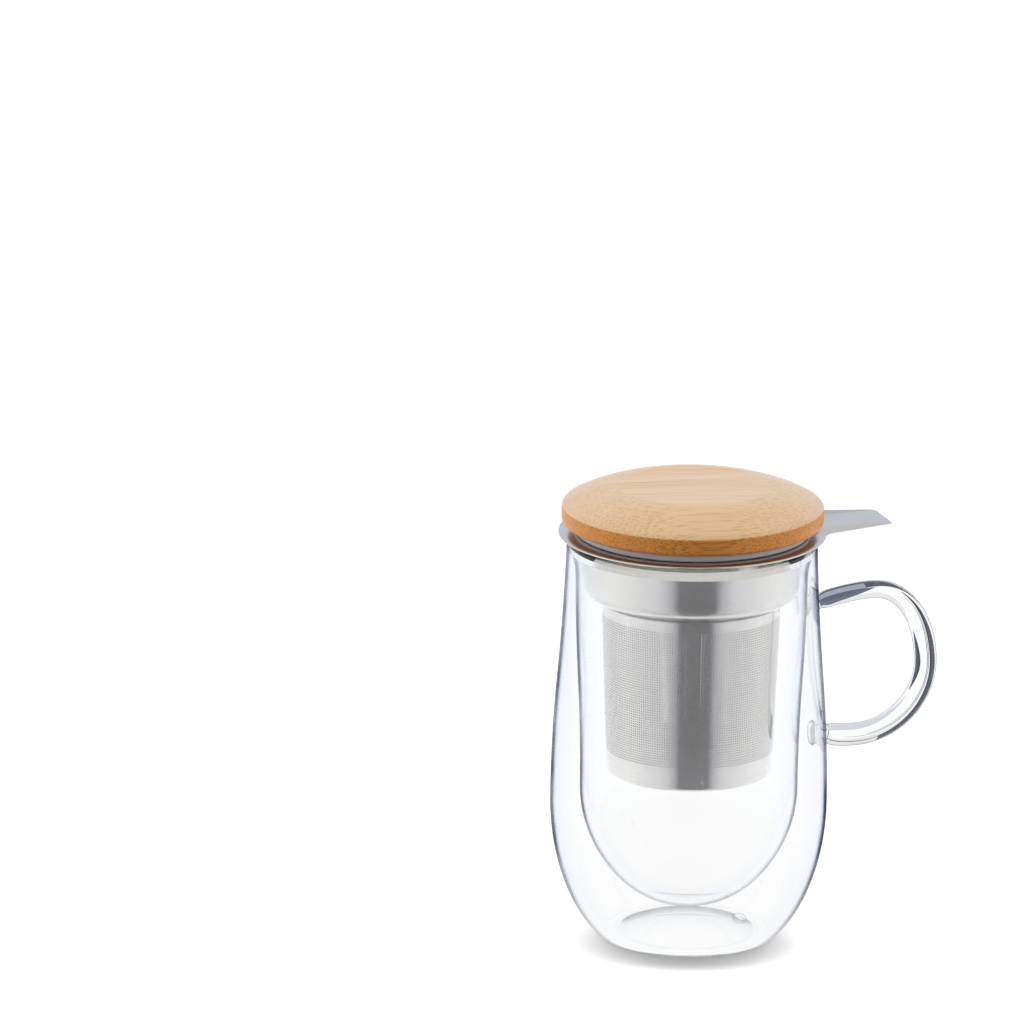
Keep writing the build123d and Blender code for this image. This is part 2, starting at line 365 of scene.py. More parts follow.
@dataclass(frozen=True)
class Placement:
    """Where a finished piece belongs.

    Attributes:
        body: The CAD body that it moves with.
        slot: The record's material slot; not used.
        stands_for: The CAD nodes that it replaces.
    """

    body: Body
    slot: Slot
    stands_for: tuple[str, ...]

    def place(self, mesh: bpy.types.Mesh, material: Material, sharp_angle: float = SHARP_ANGLE) -> None:
        """Turns a mesh into a piece of the object: shaded smooth, dressed and set on its body.

        Args:
            mesh: The piece's mesh, with its name, in metres.
            material: Its finish.
            sharp_angle: Edges that turn further than this, in degrees, stay sharp.
        """
        mesh.shade_smooth()
        mesh.set_sharp_from_angle(angle=radians(sharp_angle))
        mesh.materials.append(material)
        piece = bpy.data.objects.new(mesh.name, mesh)
        bpy.context.scene.collection.objects.link(piece)
        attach(piece, self.body.value)
        if self.stands_for:
            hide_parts(*self.stands_for)
        log.info("%s: %d faces, on %s", mesh.name, len(mesh.polygons), self.body.value)

    def place_surfaces(
        self, name: str, surfaces: list[Surface], material: Material, sharp_angle: float = SHARP_ANGLE
    ) -> None:
        """Makes one piece of several surfaces, and merges doubled points such as those at a pole.

        Args:
            name: Name of the piece.
            surfaces: Its surfaces.
            material: Its finish.
            sharp_angle: Edges that turn further than this, in degrees, stay sharp.
        """
        mesh = surfaces_mesh(name, surfaces)
        work = bmesh.new()
        work.from_mesh(mesh)
        bmesh.ops.remove_doubles(work, verts=work.verts, dist=SAME_VERTEX)
        work.to_mesh(mesh)
        work.free()
        self.place(mesh, material, sharp_angle)


@dataclass(frozen=True)
class BorosilicateGlass:
    """Borosilicate glass, worked in a flame from tube or rod.

    It is clear and perfectly smooth, and glass that is thick is faintly green. Light that grazes a wall
    leaves it sideways, so its outlines are dark; here that is painted shade, which darkens the colour where a
    face is seen edge on. A blown wall's painted outline is uneven, and paler where the wall leans over the
    white table, as a painted reflection of it. The solid bead of a rim has a painted grey-green shade, with
    clear painted glints.
    """

    stock: GlassStock
    rim_height: float = 0.0  # from which a wall is as good as solid, in millimetres
    rim_share: float = 0.75  # of the painted outline shade on the rim's inner side
    bead_start: float = 3.3  # of the rim's solid bead above that height, in millimetres
    bead_shade_colour: str = "#A6AA9B"  # painted grey-green shade of the bead's solid glass, deeper than its own green
    wave_length: float = 24.0  # of the painted outline's and glints' unevenness, in millimetres
    wave_range: Range = (0.35, 0.6)  # of that noise, from the palest painted outline to the darkest
    wave_share: float = 0.7  # of the painted outline shade that is left where it is palest
    painted_glint_range: Range = (0.41, 0.48)  # of that noise on the bead, from its painted glints to its full painted shade
    painted_glint_share: float = 0.1  # of the bead's painted shade that is left in a painted glint
    lean_range: Range = (-0.6, -0.15)  # of the normal's height, from a wall's palest painted outline to its full one
    lean_share: float = 0.45  # of the painted outline shade that is left there, as a painted reflection of the table
    dome_range: Range = (0.3, 0.8)  # of the normal's height, from the base dome's full painted outline to its palest
    dome_share: float = 0.5
    ior: float = 1.47
    clear: str = "#FFFFFF"
    # painted shade of the outlines, from a face that starts to turn from the eye to one seen edge on
    edge_shade_tint: str = "#F2F5FC"
    edge_shade_pale: str = "#CED4E3"
    edge_shade_dark: str = "#555E77"
    edge_shade_black: str = "#272D41"
    depth_colour: str = "#DDE9E3"
    depth_density: float = 9.0  # for each metre of glass

    def material(self) -> Material:
        """Makes the node material.

        Returns:
            The material.
        """
        material, tree = new_material(f"borosilicate_glass_{self.stock.name.lower()}")
        facing = add_node(tree, "LayerWeight", {"Blend": 0.5}).outputs["Facing"]
        inside = add_node(tree, "NewGeometry").outputs["Backfacing"]
        outside = add_node(tree, "Math", (1.0, inside), operation="SUBTRACT")
        blown = self.stock is GlassStock.TUBE
        share = self.painted_wall_outline(tree, outside) if blown else outside
        # The outline is painted shade, darker as a face turns from the eye.
        edge = (self.clear, self.edge_shade_tint, self.edge_shade_pale, self.edge_shade_dark, self.edge_shade_black)
        outline = add_node(tree, "ValToRGB", (facing,), dict(zip(self.stock.value, edge)))
        parts = {"Factor": share, 6: linear(self.clear), 7: outline}
        colour = add_node(tree, "Mix", parts, data_type="RGBA")
        if blown:
            # The bead gets a painted shade, with painted glints.
            parts = {"Factor": self.bead_shade_share(tree, outside), 6: colour, 7: linear(self.bead_shade_colour)}
            colour = add_node(tree, "Mix", parts, data_type="RGBA", blend_type="MULTIPLY")
        glass = add_node(tree, "BsdfGlass", {"Color": colour, "Roughness": 0.0, "IOR": self.ior})
        absorbed = {"Color": linear(self.depth_colour), "Density": self.depth_density}
        depth = add_node(tree, "VolumeAbsorption", absorbed)
        add_node(tree, "OutputMaterial", {"Surface": glass, "Volume": depth})
        return material

    def outer_side(self, tree: Tree) -> Node:
        """Tells a face that looks away from the cup's axis, as 1, from one that looks at it, as 0.

        Args:
            tree: The material's node tree.

        Returns:
            The node with the answer.
        """
        place = add_node(tree, "TexCoord").outputs["Object"]
        normal = add_node(tree, "NewGeometry").outputs["Normal"]
        aside = add_node(tree, "VectorMath", (place, (1.0, 1.0, 0.0)), operation="MULTIPLY")
        outward = add_node(tree, "VectorMath", (aside, normal), operation="DOT_PRODUCT")
        return add_node(tree, "Math", (outward, 0.0), operation="GREATER_THAN")

    def bead_shade_share(self, tree: Tree, share: Node) -> Node:
        """How much the bead's painted shade shows: on the rim's outer side, with clear painted glints round
        it.

        Args:
            tree: The material's node tree.
            share: Is 1 where the ray is outside the glass.

        Returns:
            The node with the painted shade's share.
        """
        place = add_node(tree, "TexCoord").outputs["Object"]
        height = add_node(tree, "SeparateXYZ", (place,)).outputs["Z"]
        start = (self.rim_height + self.bead_start) * MM
        above = add_node(tree, "Math", (height, start), operation="GREATER_THAN")
        waves = add_node(tree, "TexNoise", {"Vector": place, "Scale": 1 / (self.wave_length * MM)})
        uneven = add_node(tree, "MapRange", (waves, *self.painted_glint_range, self.painted_glint_share, 1.0))
        for factor in (above, uneven, self.outer_side(tree)):
            share = add_node(tree, "Math", (share, factor), operation="MULTIPLY")
        return share

    def painted_wall_outline(self, tree: Tree, share: Node) -> Node:
        """How dark a wall's painted outline shade is: uneven, and paler towards the table as a painted
        reflection of it.

        Below the rim a face that looks at the cup's axis draws none, because it would repeat the line of the
        face behind it.

        Args:
            tree: The material's node tree.
            share: The darkness so far.

        Returns:
            The node with the changed darkness.
        """
        place = add_node(tree, "TexCoord").outputs["Object"]
        normal = add_node(tree, "NewGeometry").outputs["Normal"]
        height = add_node(tree, "SeparateXYZ", (place,)).outputs["Z"]
        rim = add_node(tree, "Math", (height, self.rim_height * MM), operation="GREATER_THAN")
        rim = add_node(tree, "Math", (rim, self.rim_share), operation="MULTIPLY")
        drawn = add_node(tree, "Math", (self.outer_side(tree), rim), operation="MAXIMUM")
        rise = add_node(tree, "SeparateXYZ", (normal,)).outputs["Z"]
        upright = add_node(tree, "MapRange", (rise, *self.lean_range, self.lean_share, 1.0))
        level = add_node(tree, "MapRange", (rise, *self.dome_range, 1.0, self.dome_share))
        noise = {"Vector": place, "Scale": 1 / (self.wave_length * MM), "Detail": 2.0}
        waves = add_node(tree, "TexNoise", noise)
        uneven = add_node(tree, "MapRange", (waves, *self.wave_range, self.wave_share, 1.0))
        for factor in (drawn, upright, level, uneven):
            share = add_node(tree, "Math", (share, factor), operation="MULTIPLY")
        return share


@dataclass(frozen=True)
class StainlessSteel:
    """Stainless steel sheet, rolled, pressed and polished.

    It mirrors the room a little unevenly, because pressed sheet is never flat, with fine polishing lines
    round it. Next to a welded seam that runs round it at one height its colour is darkened, as painted shade
    of the corner there.
    """

    grade: SteelGrade
    seam_height: Optional[float] = None  # of the seam, beside which shade is painted, in millimetres
    seam_width: float = 1.25  # over which the painted shade fades, in millimetres
    seam_shade_core: float = 1 / 3  # of that width, which is fully dark
    # painted shade beside the seam
    seam_shade_colour: str = "#24262C"
    colour: str = "#D4D1CD"
    colour_worn: str = "#C9C7C4"
    line_spacing: float = 0.35  # between polishing lines, in millimetres, coarser than real so that they show
    line_length: float = 50 / 3  # over which a line changes, in millimetres
    line_range: Range = (0.3, 0.7)  # of that noise, from the smoothest lines to the roughest
    line_shares: Range = (0.75, 1.35)  # of the grade's roughness there
    line_bump: Range = (0.03, 0.05)  # strength, and height in millimetres
    dent_width: float = 14.0  # of the sheet's unevenness, in millimetres
    dent_bump: Range = (0.06, 0.4)
    level_range: Range = (0.7, 0.98)  # of the normal's height, from upright faces to level ones

    def material(self) -> Material:
        """Makes the node material.

        Returns:
            The material.
        """
        material, tree = new_material(f"stainless_steel_{self.grade.name.lower()}")
        place = add_node(tree, "TexCoord").outputs["Object"]
        noise = {"Vector": place, "Scale": 1 / (self.dent_width * MM), "Detail": 1.0}
        dents = add_node(tree, "TexNoise", noise)
        along = 1 / (self.line_length * MM)
        scale = (along, along, 1 / (self.line_spacing * MM))
        stretched = add_node(tree, "Mapping", {"Vector": place, "Scale": scale})
        noise = {"Vector": stretched, "Scale": 1.0, "Detail": 3.0, "Roughness": 0.6}
        lines = add_node(tree, "TexNoise", noise)
        rough = add_node(tree, "MapRange", (lines, *self.line_range, *self.line_shares))
        normal = add_node(tree, "NewGeometry").outputs["Normal"]
        rise = add_node(tree, "SeparateXYZ", (normal,)).outputs["Z"]
        polish = add_node(tree, "MapRange", (rise, *self.level_range, *self.grade.value))
        rough = add_node(tree, "Math", (rough, polish), operation="MULTIPLY")
        parts = {"Factor": lines, 6: linear(self.colour), 7: linear(self.colour_worn)}
        colour = add_node(tree, "Mix", parts, data_type="RGBA")
        # Painted shade next to the seam.
        if self.seam_height is not None:
            colour = self.painted_seam_shade(tree, place, colour)
        strength, depth = self.dent_bump
        uneven = add_node(tree, "Bump", {"Height": dents, "Strength": strength, "Distance": depth * MM})
        strength, depth = self.line_bump
        relief = {"Height": lines, "Strength": strength, "Distance": depth * MM, "Normal": uneven}
        scored = add_node(tree, "Bump", relief)
        look = {"Base Color": colour, "Metallic": 1.0, "Roughness": rough, "Normal": scored}
        add_node(tree, "OutputMaterial", {"Surface": add_node(tree, "BsdfPrincipled", look)})
        return material

    def painted_seam_shade(self, tree: Tree, place: Socket, colour: Node) -> Node:
        """Darkens the steel's colour next to the welded seam: painted shade of the corner there.

        Args:
            tree: The material's node tree.
            place: Object coordinates.
            colour: The node with the steel's colour.

        Returns:
            The node with the darkened colour.
        """
        height = add_node(tree, "SeparateXYZ", (place,)).outputs["Z"]
        above = add_node(tree, "Math", (height, self.seam_height * MM), operation="SUBTRACT")
        apart = add_node(tree, "Math", (above,), operation="ABSOLUTE")
        fade = (self.seam_width * self.seam_shade_core * MM, self.seam_width * MM)
        dark = add_node(tree, "MapRange", (apart, *fade, 1.0, 0.0))
        parts = {"Factor": dark, 6: colour, 7: linear(self.seam_shade_colour)}
        return add_node(tree, "Mix", parts, data_type="RGBA")


@dataclass(frozen=True)
class LaminatedBamboo:
    """Bamboo strips glued side by side, turned on a lathe and oiled.

    Its fibre bundles run nearly along X, so they show as dark dots where they are cut across and as streaks
    along the sides. The strips differ a little in tone, the upright faces are tinted deeper as painted shade,
    and the oil gives the top a satin gloss.
    """

    pale: str = "#F9D8AC"
    honey: str = "#F3C187"
    bundle: str = "#935822"
    # painted shade of the upright faces, which deepens their colour
    upright_shade_colour: str = "#F7C06A"
    dots_level: float = 0.42  # strength of the bundles on level faces
    dots_upright: float = 0.8  # and on upright ones
    dot_range: Range = (0.12, 0.52)  # from a bundle's dark core to its edge, in cells
    dot_bump: Range = (0.12, 0.08)  # strength, and depth in millimetres
    strip_contrast: float = 0.4  # how much of the tone comes from the strip
    wash_range: Range = (0.3, 1.05)  # of strip and streak together, from the pale tone to the honey one
    oil_level: float = 0.75
    oil_upright: float = 0.06
    oil_roughness: float = 0.32
    upright_range: Range = (0.75, 0.2)  # of the normal's height, from level faces to upright ones
    streaks_per_bundle: float = 2.2
    streak_range: Range = (0.3, 0.7)  # of the streaks' noise
    roughness: Range = (0.34, 0.5)  # at the ends of that range
    ior: float = 1.5
    fibre_turn: float = -10.0  # of the fibres from the X axis, in degrees
    strip_width: float = 6.4  # in millimetres
    bundle_spacing: float = 0.48  # in millimetres
    fibre_length: float = 42.0  # over which a streak changes, in millimetres

    def material(self) -> Material:
        """Makes the node material.

        Returns:
            The material.
        """
        material, tree = new_material("laminated_bamboo")
        place = add_node(tree, "TexCoord").outputs["Object"]
        turn = (0.0, 0.0, radians(-self.fibre_turn))
        place = add_node(tree, "Mapping", {"Vector": place, "Rotation": turn})
        across = 1 / (self.bundle_spacing * MM)
        scale = (1 / (self.fibre_length * MM), across, across)
        fibres = add_node(tree, "Mapping", {"Vector": place, "Scale": scale})
        bundles = add_node(tree, "TexVoronoi", {"Vector": fibres, "Scale": 1.0, "Randomness": 0.9})
        dot = (bundles, *self.dot_range, 1.0, 0.0)
        dots = add_node(tree, "MapRange", dot, interpolation_type="SMOOTHSTEP")
        noise = {"Vector": fibres, "Scale": self.streaks_per_bundle, "Detail": 4.0, "Roughness": 0.62}
        streaks = add_node(tree, "TexNoise", noise)
        normal = add_node(tree, "NewGeometry").outputs["Normal"]
        rise = add_node(tree, "SeparateXYZ", (normal,)).outputs["Z"]
        steep = (rise, *self.upright_range, 0.0, 1.0)
        upright = add_node(tree, "MapRange", steep, interpolation_type="SMOOTHSTEP")
        strength = add_node(tree, "MapRange", (upright, 0.0, 1.0, self.dots_level, self.dots_upright))
        share = add_node(tree, "Math", (dots, strength), operation="MULTIPLY")
        parts = {"Factor": share, 6: self.ground(tree, place, streaks), 7: linear(self.bundle)}
        colour = add_node(tree, "Mix", parts, data_type="RGBA")
        # Upright faces are tinted deeper: painted shade of the sides.
        parts = {"Factor": upright, 6: colour, 7: linear(self.upright_shade_colour)}
        colour = add_node(tree, "Mix", parts, data_type="RGBA", blend_type="MULTIPLY")
        relief = {"Height": dots, "Strength": self.dot_bump[0], "Distance": self.dot_bump[1] * MM}
        look = {
            "Base Color": colour,
            "Roughness": add_node(tree, "MapRange", (streaks, *self.streak_range, *self.roughness)),
            "IOR": self.ior,
            "Coat Weight": add_node(tree, "MapRange", (upright, 0.0, 1.0, self.oil_level, self.oil_upright)),
            "Coat Roughness": self.oil_roughness,
            "Normal": add_node(tree, "Bump", relief, invert=True),
        }
        add_node(tree, "OutputMaterial", {"Surface": add_node(tree, "BsdfPrincipled", look)})
        return material

    def ground(self, tree: Tree, place: Node, streaks: Node) -> Node:
        """The wood's tone between its bundles, by strip and by streak.

        Args:
            tree: The material's node tree.
            place: Object coordinates, turned along the fibres.
            streaks: Noise that is drawn out along the fibres.

        Returns:
            The node with the colour.
        """
        aside = add_node(tree, "SeparateXYZ", (place,)).outputs["Y"]
        count = add_node(tree, "Math", (aside, 1 / (self.strip_width * MM)), operation="MULTIPLY")
        strip = add_node(tree, "Math", (count,), operation="FLOOR")
        tone = add_node(tree, "TexWhiteNoise", {"W": strip}, noise_dimensions="1D")
        wash = add_node(tree, "Math", (tone, self.strip_contrast, streaks), operation="MULTIPLY_ADD")
        share = add_node(tree, "MapRange", (wash, *self.wash_range))
        parts = {"Factor": share, 6: linear(self.pale), 7: linear(self.honey)}
        return add_node(tree, "Mix", parts, data_type="RGBA")


@dataclass(frozen=True)
class MouldedSilicone:
    """Silicone rubber, moulded in a satin tool.

    It is milky and lets some light in, so its thin lip is paler than the plug.
    """

    colour: str = "#EAEAEE"
    dusty: str = "#E0E0E5"
    cloud_width: float = 100 / 9  # of its dusty patches, in millimetres
    cloud_range: Range = (0.3, 0.7)  # of their noise
    roughness: Range = (0.36, 0.48)  # at the ends of that range
    ior: float = 1.41
    milkiness: float = 0.45  # share of the light that wanders in it
    depth: float = 2.5  # how far that light goes, in millimetres

    def material(self) -> Material:
        """Makes the node material.

        Returns:
            The material.
        """
        material, tree = new_material("moulded_silicone")
        place = add_node(tree, "TexCoord").outputs["Object"]
        noise = {"Vector": place, "Scale": 1 / (self.cloud_width * MM), "Detail": 4.0}
        cloud = add_node(tree, "TexNoise", noise)
        parts = {"Factor": cloud, 6: linear(self.colour), 7: linear(self.dusty)}
        look = {
            "Base Color": add_node(tree, "Mix", parts, data_type="RGBA"),
            "Roughness": add_node(tree, "MapRange", (cloud, *self.cloud_range, *self.roughness)),
            "IOR": self.ior,
            "Subsurface Weight": self.milkiness,
            "Subsurface Radius": (self.depth, self.depth, self.depth),
            "Subsurface Scale": MM,
        }
        add_node(tree, "OutputMaterial", {"Surface": add_node(tree, "BsdfPrincipled", look)})
        return material


@dataclass
class GlassCup:
    """The blown vessel with its rod handle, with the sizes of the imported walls, in millimetres."""

    turns: int = 176
    belly_height: float = 46.0
    shoulder_draw: float = 3.4
    shoulder_height: float = 86.0
    outer_wall: float = 1.8
    base_diameter: float = 57.0
    lower_curve_share: float = 1.13
    foot_rounding: float = 3.2
    punt_diameter: float = 43.0
    punt_height: float = 4.9
    punt_rounding: float = 0.7
    vent_offset: float = 18.3
    vent_bead_diameter: float = 4.8
    rim_thickness: float = 2.8
    rim_joint_depth: float = 5.0
    mouth_diameter: float = 72.0
    mouth_depth: float = 14.0
    inner_wall: float = 1.6
    bowl_diameter: float = 70.8
    bowl_bottom_radius: float = 32.0
    bowl_bottom_angle: float = 45.0
    bowl_swell_share: float = 0.45
    rod_diameter: float = 7.4
    upper_rod_diameter: float = 5.8  # the rod is drawn thinner towards its upper weld
    thin_end_share: float = 0.2  # of the rod's length, where it starts to grow
    full_start_share: float = 0.5  # and where it has its full diameter
    crest_height: float = 110.5
    crest_reach: float = 63.0
    grip_height: float = 85.5
    sag_height: float = 62.6
    sag_reach: float = 57.0
    upper_root_height: float = 107.0
    lower_root_height: float = 64.2
    weld_disc_diameter: float = 8.6
    neck_diameter: float = 6.0
    neck_length: float = 2.2
    weld_length: float = 5.0
    weld_sink: float = 0.5  # how far the rod's end is melted into the wall
    weld_rings: int = 30  # that each end of the rod has, closer together than the others
    weld_share: float = 1.6  # of the weld's length, over which they lie
    blend_rings: int = 9  # over which the rod's changes of width are smoothed

    def __post_init__(self) -> None:
        """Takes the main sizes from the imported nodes."""
        inner_low, inner_high = box_mm("inner_glass")
        outer_high = box_mm("outer_glass")[1]
        self.cup_height = inner_high[2]
        self.rim_radius = inner_high[0]
        self.bowl_floor_height = inner_low[2]
        self.belly_radius = outer_high[0]
        self.handle_reach = box_mm("handle")[1][0]
        self.joint_height = self.cup_height - self.rim_joint_depth

    def wall_side(self, inset: float) -> Points:
        """The outer wall from its belly to the rim joint, moved in by inset: two circles' arcs in a row.

        Args:
            inset: How far the line lies inside the wall's outer face.

        Returns:
            Rows of radius and height, from the belly up.
        """
        shoulder = (self.belly_radius - self.shoulder_draw / 2 - inset, self.shoulder_height)
        side = tangent_arc((self.belly_radius - inset, self.belly_height), shoulder, (0, 1), 28)
        neck = tangent_arc(shoulder, (self.rim_radius - inset, self.joint_height), last_heading(side), 28)
        return chain(side, neck)

    def wall_line(self, inset: float) -> Points:
        """The outer wall from the punt's centre round the foot to the rim joint, moved in by inset.

        The punt is a sphere's cap, the foot a flat ring with rounded edges, and the lower side a quarter of
        an ellipse. Each rounding's centre lies its own radius from both lines that it joins.

        Args:
            inset: How far the line lies inside the wall's outer face.

        Returns:
            Rows of radius and height, from the axis out and up.
        """
        punt_radius = self.punt_diameter / 2
        sphere = (punt_radius**2 + self.punt_height**2) / (2 * self.punt_height)
        dome, dome_centre = sphere + inset, self.punt_height - sphere
        inner_round = self.punt_rounding + self.outer_wall - inset
        inner_height = inset + inner_round
        inner_reach = sqrt((dome + inner_round) ** 2 - (inner_height - dome_centre) ** 2)
        lean = degrees(atan2(inner_height - dome_centre, inner_reach))
        punt = arc((0, dome_centre), dome, 90, lean - 90, 40)
        inner_edge = arc((inner_reach, inner_height), inner_round, lean + 180, 90 - lean, 12)

        base_radius = self.base_diameter / 2
        full_height = self.belly_height * self.lower_curve_share
        full_width = (self.belly_radius - base_radius) / (1 - sqrt(1 - 1 / self.lower_curve_share**2))
        width, height = full_width - inset, full_height - inset
        outer_round = self.foot_rounding + self.outer_wall - inset
        outer_height = inset + outer_round
        angle = np.linspace(-pi / 2, 0, 4000)
        normal = np.stack([np.cos(angle) / width, np.sin(angle) / height], axis=1)
        normal /= np.linalg.norm(normal, axis=1, keepdims=True)
        reach = self.belly_radius - full_width + width * np.cos(angle) - outer_round * normal[:, 0]
        level = self.belly_height + height * np.sin(angle) - outer_round * normal[:, 1]
        meeting = np.interp(outer_height, level, angle)
        outer_reach = np.interp(meeting, angle, reach)
        tilt = degrees(atan2(sin(meeting) / height, cos(meeting) / width))
        outer_edge = arc((outer_reach, outer_height), outer_round, -90, 90 + tilt, 14)
        start = degrees(meeting)
        curve_centre = (self.belly_radius - full_width, self.belly_height)
        curve = ellipse_arc(curve_centre, width, height, start, -start, 44)
        return chain(punt, inner_edge, outer_edge, curve, self.wall_side(inset))

    def bowl_line(self, inset: float, lip: tuple[float, float]) -> Points:
        """The bowl from its lowest point to lip: two circles' arcs below, then three up to the flare.

        Args:
            inset: How far the line lies inside the bowl's outer face.
            lip: Radius and height of the last point.

        Returns:
            Rows of radius and height, from the axis out and up.
        """
        bowl_radius, mouth_radius = self.bowl_diameter / 2, self.mouth_diameter / 2 + self.inner_wall
        turn = radians(self.bowl_bottom_angle)
        side_curve = (bowl_radius - self.bowl_bottom_radius * sin(turn)) / (1 - sin(turn))
        bottom_centre = self.bowl_floor_height + self.bowl_bottom_radius
        side_height = bottom_centre + (side_curve - self.bowl_bottom_radius) * cos(turn)
        bend = self.bowl_bottom_angle
        bottom = arc((0, bottom_centre), self.bowl_bottom_radius - inset, -90, bend, 30)
        curve = arc((bowl_radius - side_curve, side_height), side_curve - inset, bend - 90, 90 - bend, 30)
        swell = bowl_radius + self.bowl_swell_share * (mouth_radius - bowl_radius)
        side = tangent_arc(curve[-1], (swell - inset, self.shoulder_height), (0, 1), 16)
        mouth = (mouth_radius - inset, self.cup_height - self.mouth_depth)
        upper = tangent_arc(side[-1], mouth, last_heading(side), 16)
        flare = tangent_arc(upper[-1], lip, last_heading(upper), 16)
        return chain(bottom, curve, side, upper, flare)

    def vessel(self) -> list[Surface]:
        """The skin of the glass and the closed space between its walls, each turned from one profile.

        Returns:
            The two surfaces.
        """
        bead = self.rim_thickness / 2
        bead_centre = (self.rim_radius - bead, self.cup_height - bead)
        rim = arc(bead_centre, bead, 0, 180, 20)
        inside = self.bowl_line(self.inner_wall, (bead_centre[0] - bead, bead_centre[1]))[::-1]
        skin = chain(self.wall_line(0), rim, inside)
        cusp = (self.rim_radius - self.outer_wall, self.joint_height)
        space = chain(self.bowl_line(0, cusp), self.wall_line(self.outer_wall)[::-1])
        return [lathe(skin, self.turns), lathe(space, self.turns)]

    def handle_line(self) -> Points:
        """The rod's centre line from weld to weld: an arc, two quarter ellipses and an arc.

        Returns:
            Rows of x and z, from the upper weld.
        """
        side = self.wall_side(0)
        upper = (np.interp(self.upper_root_height, side[:, 1], side[:, 0]), self.upper_root_height)
        lower = (np.interp(self.lower_root_height, side[:, 1], side[:, 0]), self.lower_root_height)
        crest, sag = (self.crest_reach, self.crest_height), (self.sag_reach, self.sag_height)
        grip = self.handle_reach - self.rod_diameter / 2
        rise = tangent_arc(crest, upper, (-1, 0), 40)[::-1]
        rise_height, sag_depth = crest[1] - self.grip_height, self.grip_height - sag[1]
        top = ellipse_arc((crest[0], self.grip_height), grip - crest[0], rise_height, 90, -90, 90)
        below = ellipse_arc((sag[0], self.grip_height), grip - sag[0], sag_depth, 0, -90, 90)
        back = tangent_arc(sag, lower, (-1, 0), 40)
        line = chain(rise, top, below, back)
        first, last = line[0] - line[1], line[-1] - line[-2]
        start = line[0] + self.weld_sink * first / np.linalg.norm(first)
        end = line[-1] + self.weld_sink * last / np.linalg.norm(last)
        return chain([start], line, [end])

    def handle(self, around: int = 40, along: int = 300) -> Surface:
        """The rod: a circle carried along the centre line, spread at each weld and necked beside it.

        Args:
            around: Points round the rod.
            along: Rings along it.

        Returns:
            The closed surface, with a pole at each end.
        """
        line = self.handle_line()
        length = run_length(line)[-1]
        weld = np.linspace(0, self.weld_share * self.weld_length, self.weld_rings)
        middle = np.linspace(weld[-1], length - weld[-1], along)[1:-1]
        place = np.concatenate([weld, middle, length - weld[::-1]])
        centre = at_length(line, place)
        heading = np.gradient(centre, place, axis=0)
        heading /= np.linalg.norm(heading, axis=1, keepdims=True)
        inner = np.minimum(place, length - place) - self.weld_sink
        spots = [-self.weld_sink, 0, self.neck_length, self.weld_length, length]
        growing = self.full_start_share - self.thin_end_share
        grown = np.clip((place / length - self.thin_end_share) / growing, 0, 1)
        grown = grown**2 * (3 - 2 * grown)
        thinness = (1 - grown) * (self.rod_diameter - self.upper_rod_diameter) / 2
        widths = [self.weld_disc_diameter, self.weld_disc_diameter, self.neck_diameter, self.rod_diameter]
        bend = np.interp(inner, spots, [*widths, self.rod_diameter]) / 2
        kernel = np.hanning(self.blend_rings)
        padded = np.pad(bend, self.blend_rings // 2, mode="edge")
        radius = np.convolve(padded, kernel / kernel.sum(), mode="valid") - thinness
        centre = centre + thinness[:, None] * np.stack([-heading[:, 1], heading[:, 0]], axis=1)
        angle = np.linspace(0, 2 * pi, around, endpoint=False)
        swing = radius[:, None] * np.cos(angle)
        aside, up = centre[:, :1] - swing * heading[:, 1:], centre[:, 1:] + swing * heading[:, :1]
        grid = np.stack([aside, -radius[:, None] * np.sin(angle), up], axis=-1)
        poles = [np.broadcast_to(grid[end].mean(axis=0), (1, around, 3)) for end in (0, -1)]
        return Surface(np.concatenate([poles[0], grid, poles[1]]))

    def vent_bead(self) -> Surface:
        """The melted bead on the punt: a flattened ball, turned about its own upright axis.

        Returns:
            The closed surface.
        """
        low, high = box_mm("vent_seal")
        middle = (low[2] + high[2]) / 2
        ball = arc((0, 0), 1.0, -90, 180, 25) * [self.vent_bead_diameter / 2, (high[2] - low[2]) / 2]
        ball[[0, -1], 0] = 0
        bead = lathe(ball, 32)
        bead.grid += [self.vent_offset, 0, middle]
        return bead

    def build(self) -> None:
        """Makes and dresses the glass pieces."""
        tube = BorosilicateGlass(GlassStock.TUBE, self.joint_height).material()
        walls = Placement(Body.CUP, Slot.GLASS, ("outer_glass", "inner_glass"))
        walls.place_surfaces("glass_vessel", self.vessel(), tube, sharp_angle=75)
        rod = BorosilicateGlass(GlassStock.ROD).material()
        handle = Placement(Body.CUP, Slot.GLASS, ("handle",))
        handle.place_surfaces("glass_handle", [self.handle()], rod, sharp_angle=60)
        bead = Placement(Body.CUP, Slot.GLASS, ("vent_seal",))
        bead.place_surfaces("glass_vent_bead", [self.vent_bead()], rod)


